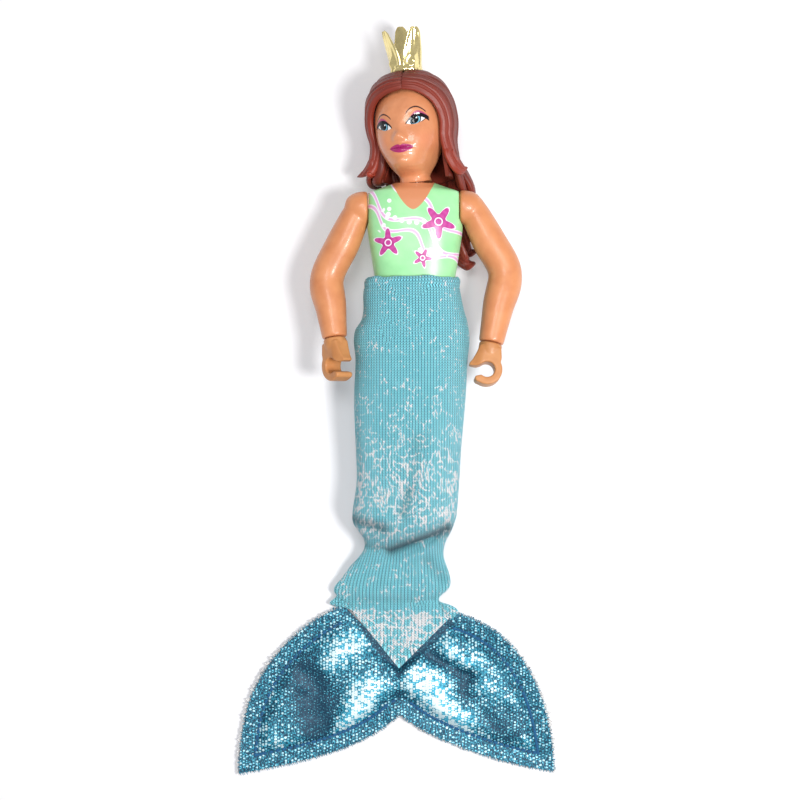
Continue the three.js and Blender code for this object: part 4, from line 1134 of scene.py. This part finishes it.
def petalBm(turn, height, flare):
    def shape(u, v):
        y = 0.3 + (height - 0.3) * v
        spread = crown["spread"] * (1 - smooth(v, 0.2, 1.0) * 0.62) * (1 - max(v - 0.86, 0) ** 2 * 30)
        angle = math.radians(turn + (u * 2 - 1) * spread)
        rib = 0.34 * bumpAt(u - 0.5, 0.13) * (1 - v * 0.4)
        rims = 0.2 * bumpAt(abs(u - 0.5) - 0.42, 0.08)
        rosette = 0.5 * bumpAt(math.hypot((u - 0.5) * 5.2, y - 2.3), 0.85)
        groove = 0.3 * bumpAt(u - 0.5, 0.1) * smooth(v, 0.3, 0.45)
        radius = crownRadius(y, flare) + (rib + rims) + rosette - groove
        return Vector((math.sin(angle) * radius, y, math.cos(angle) * radius))

    return walled(sheetGrid(36, 48, shape), crown["thickness"])


crownBm = turnedSolid(crown["ring"], 72)
for petal in crown["petals"]:
    addTo(crownBm, petalBm(*petal))
addTo(crownBm, turnedSolid(crown["pin"], 40))
facingOut(crownBm)
crownPlace = tiltPlace @ Matrix.Translation((0, crown["seat"], 0))
finished(crownBm, "crown_plated", goldPlating, "crown", ["crown"], crownPlace)
print("crown ready")


# Arms: one moulded piece each, from the shoulder to the wrist
arms = {
    "left": {
        "side": 1,
        "shoulder": Vector((13.1, 30.6, 12.507)),
        "wall": 10.45,
        "elbow": Vector((21.3, 14.8, 11.607)),
        "wrist": Vector((17.85, -2.0, 14.407)),
        "turn": 0,
    },
    "right": {
        "side": -1,
        "shoulder": Vector((-13.0, 30.3, 12.507)),
        "wall": 11.15,
        "elbow": Vector((-20.8, 13.5, 11.607)),
        "wrist": Vector((-18.9, -0.8, 14.207)),
        "turn": -52,
    },
}
armForm = {
    "radii": [[3.1], [3.6], [4.0], [4.0], [4.0], [4.05], [3.7], [3.25], [2.95]],
    "cap": [(0, 0), (3.7, 0), (3.95, 0.3), (3.95, 1.4), (3.7, 2.9), (3.1, 4.2), (2.0, 5.2), (0, 5.6)],
    "capDrop": 0.4,
    "peg": [(0, 6.6), (3.6, 6.6), (3.6, 8.0), (2.5, 8.0), (2.5, 11.0), (0, 11.0)],
    "voxel": 0.24,
    "smoothing": 14,
}


def armBm(arm):
    shoulder, elbow, wrist = arm["shoulder"], arm["elbow"], arm["wrist"]
    path = [shoulder, shoulder.lerp(elbow, 0.5), elbow, elbow.lerp(wrist, 0.5), wrist]

    def shape(angle, share):
        middle = Vector(alongCurve(path, share))
        ahead = Vector(alongCurve(path, min(share + 0.01, 1)))
        behind = Vector(alongCurve(path, max(share - 0.01, 0)))
        along = (ahead - behind).normalized()
        side = along.cross(Vector((0, 0, 1))).normalized()
        up = side.cross(along)
        radius = alongCurve(armForm["radii"], share)[0]
        return middle + side * radius * math.cos(angle) - up * radius * math.sin(angle)

    bm = tube(64, 80, shape)
    closeEnds(bm)
    facingOut(bm)
    flip = Matrix.Diagonal((arm["side"], 1, 1, 1))
    capSpot = (arm["side"] * arm["wall"], shoulder.y - armForm["capDrop"], doll["bodyHeight"])
    addTo(bm, turnedSolid(armForm["cap"], 64, "X"), Matrix.Translation(capSpot) @ flip)
    facingOut(bm)
    bm = remeshed(bm, armForm["voxel"], armForm["smoothing"])
    pegSpot = (0, torso["armholeY"], doll["bodyHeight"])
    addTo(bm, turnedSolid(armForm["peg"], 40, "X"), Matrix.Translation(pegSpot) @ flip)
    facingOut(bm)
    return bm


# Hands: a C grip on a short cuff, in the wrist's own frame
hand = {
    "middle": (0.2, -6.7),
    "bore": 1.8,
    "radius": 3.6,
    "depth": 4.6,
    "edge": 0.6,
    "thumb": [
        (-2.5, -1.0), (-2.9, -3.0), (-3.5, -4.8), (-4.1, -5.9), (-4.1, -6.3), (-3.4, -6.4), (-2.3, -6.3),
    ],
    "tips": [(-2.2, -8.75), (-2.25, -9.3), (-1.9, -9.9)],
    "heel": [(3.1, -3.4), (2.5, -1.0)],
    "cuff": [
        (0, -4.0), (1.8, -4.0), (2.45, -2.8), (2.7, -1.6), (2.72, -0.4), (2.5, -0.15),
        (1.05, -0.15), (1.05, 3.1), (0, 3.1),
    ],
    "voxel": 0.14,
    "smoothing": 7,
}


def wristPlace(arm):
    up = (arm["elbow"] - arm["wrist"]).normalized()
    front = (Vector((0, 0, 1)) - up * up.z).normalized()
    across = up.cross(front)
    basis = Matrix((across, up, front)).transposed().to_4x4()
    turn = Matrix.Rotation(math.radians(arm["turn"]), 4, "Y")
    return Matrix.Translation(arm["wrist"]) @ basis @ turn @ Matrix.Diagonal((arm["side"], 1, 1, 1))


def handBm(arm):
    cx, cy = hand["middle"]

    def arc(radius, start, end, steps=22):
        turns = [math.radians(start + (end - start) * k / steps) for k in range(steps + 1)]
        return [(cx + radius * math.cos(turn), cy + radius * math.sin(turn)) for turn in turns]

    outline = hand["thumb"] + arc(hand["bore"], 145, -125) + hand["tips"]
    outline += arc(hand["radius"], -112, 38) + hand["heel"]
    bm = bmesh.new()
    verts = [bm.verts.new((x, y, -hand["depth"] / 2)) for x, y in outline]
    raised(bm, [bm.faces.new(verts)], hand["depth"])
    rims = [e for e in bm.edges if abs(e.verts[0].co.z - e.verts[1].co.z) < 0.1]
    rounded(bm, rims, hand["edge"], 3)
    bmesh.ops.triangulate(bm, faces=[f for f in bm.faces if len(f.verts) > 4])
    addTo(bm, turnedSolid(hand["cuff"], 48))
    facingOut(bm)
    bm = remeshed(bm, hand["voxel"], hand["smoothing"])
    for vert in bm.verts:
        thumb = smooth(-vert.co.x, 1.0, 4.2) * smooth(vert.co.y, -7.4, -6.6)
        vert.co.z *= 1 - 0.45 * thumb
    return bm


for label, arm in arms.items():
    finished(armBm(arm), f"arm_{label}_moulded", skinPlastic, f"arm_{label}", [f"arm_{label}"])
    bm = handBm(arm)
    bm.transform(wristPlace(arm))
    facingOut(bm)
    finished(bm, f"hand_{label}_moulded", handPlastic, f"hand_{label}", [f"hand_{label}"])
print("arms and hands ready")


# Knitted tail: one tube, cut where the legs bend, that runs into a V over the fin
tail = {
    "rows": [  # height, middle across, middle over the floor, half width, front and back reach
        [13.4, -0.55, 12.507, 11.0, 7.9, 7.6],
        [10.4, -0.75, 12.407, 11.4, 8.2, 7.9],
        [8.7, -0.65, 12.3, 11.6, 8.4, 8.1],
        [5.7, -0.3, 12.1, 11.9, 8.7, 8.4],
        [3.4, -0.2, 11.9, 12.5, 8.9, 8.6],
        [1.2, -0.7, 11.7, 13.4, 9.1, 8.8],
        [-1.5, -0.8, 11.5, 13.7, 9.3, 9.0],
        [-5.6, -0.8, 11.2, 13.3, 9.3, 9.0],
        [-15.4, -1.25, 10.607, 13.2, 9.2, 9.0],
        [-27.3, -1.55, 9.907, 12.5, 8.6, 8.4],
        [-34.5, -1.65, 9.507, 12.2, 8.6, 8.4],
        [-42.8, -2.5, 9.007, 12.4, 9.2, 8.2],
        [-44.9, -2.65, 8.3, 12.0, 8.6, 7.6],
        [-46.8, -2.35, 7.6, 11.0, 7.6, 7.0],
        [-49.1, -2.3, 6.4, 9.8, 5.6, 5.8],
        [-51.4, -2.65, 5.2, 9.6, 4.4, 4.8],
        [-53.4, -3.3, 4.6, 10.3, 3.8, 4.2],
        [-55.5, -3.9, 4.1, 11.6, 3.3, 3.7],
        [-58.1, -4.4, 3.6, 12.95, 2.9, 3.2],
        [-60.5, -5.4, 3.1, 13.9, 2.5, 2.7],
        [-61.8, -6.0, 2.8, 13.5, 2.3, 2.4],
        [-62.8, -6.3, 2.5, 12.6, 2.0, 2.1],
        [-63.6, -6.85, 2.3, 12.75, 1.8, 1.9],
        [-64.4, -7.1, 2.1, 13.4, 1.7, 1.7],
        [-65.1, -5.9, 1.9, 14.4, 1.6, 1.6],
        [-65.9, -3.9, 1.75, 13.9, 1.4, 1.4],
        [-67.3, -3.0, 1.6, 14.0, 1.25, 1.25],
        [-68.3, -3.6, 1.4, 14.0, 1.0, 1.0],
        [-69.9, -3.9, 1.25, 13.4, 0.95, 0.95],
        [-81.9, -3.8, 1.25, 13.0, 0.95, 0.95],
    ],
    "square": 2.5,
    "wall": 0.85,
    "waistband": 10.4,
    "bandOverlap": 0.12,  # mm that the waistband reaches below its seam
    "bandSink": -0.65,  # its middle against the tube's outline
    "bandHalf": 0.62,  # half its thickness
    "tucked": 0.4,  # mm of the upper knit under the waistband
    "hip": -13.15,
    "knee": -35.65,
    "point": (-3.8, -80.5),
    "cornerLeft": (8.4, -68.4),
    "cornerRight": (-15.8, -65.8),
    "floorGap": 0.3,
    "searched": (-82.0, -60.0),  # heights between which the V's edge is looked for
    "evenTo": -57.0,  # the rows are evenly spaced down to here
    "meanBottom": -72.0,  # for the spacing of the rows
    "valleys": [  # from, to, width and depth of the creases
        ((-6.0, -51.8), (7.2, -46.2), 1.5, 3.2),
        ((-15.3, -43.9), (-7.8, -45.8), 1.4, 2.2),
        ((-1.6, -37.0), (-3.2, -42.6), 1.4, 1.6),
        ((0.5, -25.0), (-1.0, -34.0), 1.8, 0.6),
        ((-12.0, -50.5), (-8.0, -51.0), 1.0, 0.9),
        ((3.2, -54.2), (6.4, -58.4), 1.6, 0.8),
        ((-15.6, -63.9), (0.4, -64.0), 1.0, 0.45),
        ((4.4, -63.6), (-1.0, -64.9), 0.55, 0.5),
        ((-7.4, -66.4), (-5.2, -68.6), 0.5, 0.4),
        ((-16.2, -64.9), (-19.6, -63.2), 0.5, 0.6),
        ((6.2, -64.6), (7.6, -68.0), 0.55, 0.7),
    ],
}


def veeHeight(x):  # the knit's lower edge against the fin
    px, py = tail["point"]
    cx, cy = tail["cornerLeft"] if x > px else tail["cornerRight"]
    share = (x - px) / (cx - px)
    return py + (cy - py) * min(share, 1) + 0.6 * max(share - 1, 0)


def tailRing(angle, y, swell=0.0):
    cx, cz, half, front, back = readTable(tail["rows"], y)
    across, out = math.cos(angle), math.sin(angle)
    back = min(back, cz - tail["floorGap"])
    x, z = ringPoint(across, out, half + swell, front + swell, back + swell, tail["square"])
    return Vector((cx + x, y, cz + z))


def tailPoint(angle, y, swell=0.0):
    x, y, z = tailRing(angle, y, swell)
    out = math.sin(angle)
    flat = 1 - smooth(y, -70, -58)
    ripple = noiseAt(x * 0.16, y * 0.13, out * 0.8) * 0.6 + noiseAt(x * 0.4, y * 0.1, out + 9) * 0.3
    z += ripple * (1 - flat) * out
    if out > 0:
        z -= strokesAt(tail["valleys"], x, y) * smooth(out, 0, 0.4)
    return Vector((x, y, max(z, tail["floorGap"])))


def waleWidth(y):
    return knit["wale"] + knit["stretched"] * (1 - smooth(y, -62, -50))


ringLengths = {}


def ringLength(level, turn):  # way round the tube from its front to a turn in degrees
    if level not in ringLengths:  # a level is half a millimetre high, and a step takes 2 degrees
        points = [tailRing(math.radians(90 - 2 * k), level / 2) for k in range(91)]
        total = [0]
        for a, b in zip(points, points[1:]):
            total.append(total[-1] + (b - a).length)
        ringLengths[level] = total
    total = ringLengths[level]
    low = min(int(turn / 2), 89)
    return total[low] + (total[low + 1] - total[low]) * (turn / 2 - low)


def waleAt(angle, y):
    turn = (90 - math.degrees(angle) + 180) % 360 - 180
    above = math.ceil(y * 2)
    share = above - y * 2
    length = ringLength(above, abs(turn)) * (1 - share) + ringLength(above - 1, abs(turn)) * share
    middle = readTable(tail["rows"], y)[0]
    return (math.copysign(length, turn) + middle) / waleWidth(y) + knit["middleWale"]


def tailBm(around, rows, top, bottom, swell=0.0):
    def heightFor(angle, share):
        if bottom is not None:
            return bottom + (top - bottom) * share
        across = power(math.cos(angle), 2 / tail["square"])
        low, high = tail["searched"]
        for _ in range(24):
            y = (low + high) / 2
            cx, _, half, _, _ = readTable(tail["rows"], y)
            if y > veeHeight(cx + half * across):
                high = y
            else:
                low = y
        even, length = tail["evenTo"], top - tail["meanBottom"]
        cut = (top - even) / length
        if share > 1 - cut:
            return top - (1 - share) * length
        return even + (high - even) * (1 - cut - share) / (1 - cut)

    bm = tube(around, rows, lambda angle, share: tailPoint(angle, heightFor(angle, share), swell))
    addUv(bm, lambda vert, angle, share: (waleAt(angle, vert.co.y), courseAt(vert.co.y)))
    # the crease value is painted shade for the knit's colour, strongest along the valleys on the tail's
    # upper side
    crease = bm.verts.layers.float.new("crease")
    for vert in bm.verts:
        x, y, z = vert.co
        middle = readTable(tail["rows"], y)[1]
        vert[crease] = min(strokesAt(tail["valleys"], x, y) / 3, 1) * smooth(z - middle, -0.6, 0.4)
    return bm


def knitPiece(name, rows, top, bottom, swell=0.0):
    bm = tailBm(200, rows, top, bottom, swell)
    walled(bm, tail["wall"])
    return finished(bm, name, knitCloth, None, [name.replace("knit", "tail")], sharp=80)


def waistbandBm():
    top, low = knit["top"], tail["waistband"] - tail["bandOverlap"]

    def shape(angle, share):
        turn = share * math.tau
        y = (top + low) / 2 + (top - low) / 2 * math.cos(turn)
        swell = tail["bandSink"] + tail["bandHalf"] * math.sin(turn) + 0.3 * bumpAt(y - top + 0.7, 0.9)
        lift = 0.14 * math.sin(angle * 5 + 1) + 0.1 * math.sin(angle * 11)
        point = tailPoint(angle, y, swell)
        point.y += lift * smooth(y, low, top)
        return point

    bm = tube(200, 40, shape)
    courses, first = knit["bandCourses"], knit["bandFirst"]
    addUv(bm, lambda vert, angle, share: (waleAt(angle, 12), share * courses + first))
    bmesh.ops.remove_doubles(bm, verts=bm.verts, dist=1e-4)
    facingOut(bm)
    return bm


waistband = finished(
    waistbandBm(), "knit_waistband", knitCloth, "torso", ["tail_waistband"], sharp=80
)
upperKnit = knitPiece("knit_upper", 90, tail["waistband"] + tail["tucked"], tail["hip"])
middleKnit = knitPiece("knit_middle", 80, tail["hip"], tail["knee"])
lowerKnit = knitPiece("knit_lower", 150, tail["knee"], None)
print("knitted tail ready")


# Fin: three layers of cloth, the front one with folds that are laid stroke by stroke
fin = {
    "topLeft": (9.2, -67.2),
    "topRight": (-18.1, -65.8),
    "tipLeft": (33.65, -105.3),
    "tipRight": (-42.45, -105.9),
    "notch": (-3.55, -91.3),
    "tuck": 1.4,  # mm of the fin's edge that the knit holds
    "rise": 1.1,  # mm that the front layer stands up between its seams
    "flatRise": 0.2,  # the same for the other layers
    "hem": 3.5,  # from the stitches to the edge
    "slope": 3.0,  # mm inside the hem where the full rise is reached
    # the strokes also set the painted light and shade of the fin's colour
    "strokes": [  # folds: from, to, width, height; the high ones catch the light
        ((-10.9, -85.4), (-18.1, -96.8), 3.4, 1.2),
        ((-14.6, -73.9), (-21.0, -79.4), 3.0, 0.95),
        ((-25.0, -82.0), (-22.5, -95.0), 4.6, -0.9),
        ((-3.4, -88.0), (-3.0, -92.0), 2.2, -0.8),
        ((-33.0, -98.0), (-36.5, -102.5), 3.0, 0.35),
        ((1.8, -82.8), (11.4, -96.6), 4.6, 1.2),
        ((8.0, -75.4), (12.4, -79.4), 2.2, 0.8),
        ((3.6, -77.2), (12.6, -81.8), 1.8, -0.8),
        ((12.6, -82.4), (11.6, -86.4), 1.9, -0.8),
        ((15.0, -80.0), (19.0, -85.0), 3.2, 0.4),
        ((18.0, -93.0), (23.0, -97.0), 4.0, -0.3),
        ((24.0, -101.0), (27.0, -99.0), 2.4, 0.45),
    ],
    "thickness": 0.25,
    "layers": {"fin_back": 0.35, "fin_lining": 1.0, "fin_front": 1.65},
    "ragged": {"fin_back": 0.25, "fin_lining": 1.3, "fin_front": 0.25},
    "stitchEvery": 0.85,
    "stitchJump": 3,  # the row is broken where two points lie farther apart
    "stitchSize": (0.66, 0.4, 0.24, 1),
    "threadRoot": 0.5,  # mm of each frayed thread inside the cloth
    "threadRadii": (0.17, 0.06),
}


def bezier(points, share):
    while len(points) > 1:
        points = [between(a, b, share) for a, b in zip(points, points[1:])]
    return points[0]


def chain(curves, share):  # several curves as one, with equal shares
    position = min(share * len(curves), len(curves) - 1e-9)
    return bezier(curves[int(position)], position - int(position))


topLeft, topRight, notch = fin["topLeft"], fin["topRight"], fin["notch"]
tipLeft, tipRight = fin["tipLeft"], fin["tipRight"]
finSides = {
    "left": [
        [topLeft, (15, -68.4), (20.6, -72.6)],
        [(20.6, -72.6), (29.65, -80), (33.25, -93), tipLeft],
    ],
    "right": [
        [topRight, (-27, -69.5), (-37.45, -79), (-40.55, -91)],
        [(-40.55, -91), (-42.25, -98), tipRight],
    ],
    "bottom": [
        [tipRight, (-23.95, -102.4), (-11.95, -99.5), notch],
        [notch, (3.45, -97.8), (22.05, -103.8), tipLeft],
    ],
    "top": [
        [topRight, tail["point"]],
        [tail["point"], topLeft],
    ],
}


sideShares = {"left": (0.35, 0.65), "right": (0.68, 0.32)}  # of each side's two curves


def finSide(label, share):
    first, second = sideShares[label]
    if share < first:
        return bezier(finSides[label][0], share / first)
    return bezier(finSides[label][1], (share - first) / second)


def finPlane(u, v):  # u from the doll's right to left, v from the knit to the free edge
    top, bottom = chain(finSides["top"], u), chain(finSides["bottom"], u)
    left, right = finSide("left", v), finSide("right", v)
    result = []
    for k in (0, 1):
        straight = top[k] + (bottom[k] - top[k]) * v
        leftBow = left[k] - topLeft[k] - (tipLeft[k] - topLeft[k]) * v
        rightBow = right[k] - topRight[k] - (tipRight[k] - topRight[k]) * v
        result.append(straight + leftBow * u**3 + rightBow * (1 - u) ** 3)
    return result


def finWave(x, y):
    return strokesAt(fin["strokes"], x, y) + noiseAt(x * 0.3, y * 0.3, 3) * 0.35


finEdge = [finPlane(0, k / 60) for k in range(61)]
finEdge += [finPlane(k / 120, 1) for k in range(1, 121)]
finEdge += [finPlane(1, 1 - k / 60) for k in range(1, 61)]


finTree = kdtree.KDTree(4 * (len(finEdge) - 1))
for number, (a, b) in enumerate(zip(finEdge, finEdge[1:])):
    for quarter in range(4):
        finTree.insert((*between(a, b, quarter / 4), 0), number)
finTree.balance()


def edgeDistance(x, y):
    return finTree.find((x, y, 0))[2]


def frontRise(x, y):
    return fin["rise"] * (1.1 + finWave(x, y))


def insideHem(away):  # 0 between the edge and the stitches, then up to 1
    return smooth(away, fin["hem"], fin["hem"] + fin["slope"])


def finPoint(u, v, layer):
    x, y = finPlane(u, v)
    low = fin["layers"][layer]
    away = edgeDistance(x, y)
    grip = 1 - smooth(v, 0.0, 0.08)
    inside = insideHem(away) * smooth(v, 0.04, 0.2)
    rise, stitched = fin["flatRise"], 0
    if layer == "fin_front":
        rise = frontRise(x, y)
        stitched = bumpAt(away - fin["hem"], 0.5)
    z = low + max(rise, 0.05) * inside
    edge = 0.35 * (1 + noiseAt(x * 0.35, y * 0.35, low)) * (1 - smooth(away, 0, 2.5))
    z = (z + edge - 0.3 * stitched) * (1 - grip) + (1.25 + (low - 1.0) * 0.5) * grip
    return Vector((x, y, z))


def finLayer(name, material):
    def shape(u, v):
        point = finPoint(u, v, name)
        if v < 1e-6:
            point.y += fin["tuck"]
        edge = max(smooth(abs(u - 0.5), 0.46, 0.5), smooth(v, 0.93, 1)) * smooth(v, 0.02, 0.06)
        out = Vector((u - 0.5, -0.4 if v > 0.93 else 0.05, 0)).normalized()
        fray = 0.5 + noiseAt(point.x * 1.9, point.y * 1.9, fin["layers"][name] * 9)
        return point + out * edge * fin["ragged"][name] * fray

    bm = sheetGrid(200, 150, shape)
    # the fold value is painted light and shade: lighter where the strokes raise the cloth, darker where
    # they sink it, middling near the edge
    layer = bm.verts.layers.float.new("paintedFoldLight")
    for vert in bm.verts:
        x, y = vert.co.x, vert.co.y
        # painted shade: the fold value is lowered in a strip along the knit's V seam, painting the shade
        # of the seam's recess
        seamShadeFactor = 1 - smooth(y - veeHeight(x), -3.0, -1.4) if -16 < x < 9 else 1
        border = 1 - smooth(edgeDistance(x, y), 2.0, 5.0)
        share = 0.36 + 0.48 * finWave(x, y)
        share = share * (1 - border) + 0.34 * border
        vert[layer] = min(max(share * (0.2 + 0.8 * seamShadeFactor), 0.12), 1)
    raised(bm, bm.faces[:], fin["thickness"])
    return finished(bm, f"{name}_cloth", material, "fin", [name])


def insideEdge(inset):  # the points of a line that runs inside the edge
    line = []
    for before, point, after in zip(finEdge, finEdge[1:], finEdge[2:]):
        dx, dy = after[0] - before[0], after[1] - before[1]
        length = math.hypot(dx, dy)
        x, y = point[0] - dy / length * inset, point[1] + dx / length * inset
        if edgeDistance(x, y) > inset - 0.12 and y < veeHeight(x) - 0.4:
            line.append((x, y))
    return line


def frontHeight(x, y):
    base = fin["layers"]["fin_front"] + fin["thickness"]
    return base + frontRise(x, y) * insideHem(edgeDistance(x, y))


def stitchBm():
    bm = bmesh.new()
    line = insideEdge(fin["hem"])
    carried = 0
    for a, b in zip(line, line[1:]):
        dx, dy = b[0] - a[0], b[1] - a[1]
        run = math.hypot(dx, dy)
        carried += run
        if carried < fin["stitchEvery"] or run > fin["stitchJump"]:
            continue
        carried = 0
        x, y = (a[0] + b[0]) / 2, (a[1] + b[1]) / 2
        turn = math.atan2(dy, dx) + noiseAt(x, y, 5) * 0.5
        place = (
            Matrix.Translation((x, y, frontHeight(x, y) + 0.02))
            @ Matrix.Rotation(turn, 4, "Z")
            @ Matrix.Diagonal(fin["stitchSize"])
        )
        bmesh.ops.create_icosphere(bm, subdivisions=2, radius=1, matrix=place)
    return bm


def fringeBm(seed, count, layer, longest):
    bm = bmesh.new()
    root, (thick, thin) = fin["threadRoot"], fin["threadRadii"]
    for k in range(count):
        one, two, three = noise.cell_vector(Vector((k + 0.5, seed * 7 + 0.5, 0.5)))
        position = (k + one) / count * (len(finEdge) - 2)
        low = int(position)
        a, b = finEdge[low], finEdge[low + 1]
        x, y = between(a, b, position - low)
        dx, dy = b[0] - a[0], b[1] - a[1]
        length = math.hypot(dx, dy) or 1
        out = Vector((dy / length, -dx / length, 0))
        lean = (out + Vector((two - 0.5, three - 0.5, 0)) * 0.9).normalized()
        reach = longest * (0.35 + 0.65 * two)
        turn = lean.to_track_quat("Z", "Y").to_matrix().to_4x4()
        foot = Vector((x, y, fin["layers"][layer] + 0.2 + 0.3 * one)) - lean * root
        depth = reach + root
        place = Matrix.Translation(foot) @ turn @ Matrix.Translation((0, 0, depth / 2))
        bmesh.ops.create_cone(
            bm, cap_ends=True, segments=4, radius1=thick, radius2=thin, depth=depth, matrix=place
        )
    return bm


finCloth = [
    finLayer("fin_back", lameCloth),
    finLayer("fin_lining", liningCloth),
    finLayer("fin_front", lameCloth),
]
stitching = finished(stitchBm(), "fin_stitching", stitchThread, "fin")
blueEdge = finished(fringeBm(1, 420, "fin_front", 0.85), "fin_fringe_blue", blueFringe, "fin")
blueUnder = finished(fringeBm(2, 300, "fin_back", 0.7), "fin_fringe_under", blueFringe, "fin")
paleEdge = finished(fringeBm(3, 180, "fin_lining", 0.55), "fin_fringe_pale", paleFringe, "fin")
print("fin ready")

# Inside the tail: the frame's own solids, with the doll's materials
carried = {
    "pelvis": mintPlastic,
    "hip_pin": pinSteel,
    "knee_pin_left": pinSteel,
    "knee_pin_right": pinSteel,
    "thigh_left": skinPlastic,
    "thigh_right": skinPlastic,
    "shin_left": skinPlastic,
    "shin_right": skinPlastic,
}
for label, material in carried.items():
    for materialSlot in bpy.data.objects[label].material_slots:
        materialSlot.material = material


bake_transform(upperKnit)
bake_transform(middleKnit)
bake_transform(lowerKnit)
for piece, extras in zip(finCloth, ([blueUnder], [paleEdge], [stitching, blueEdge])):
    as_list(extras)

print("scene ready")
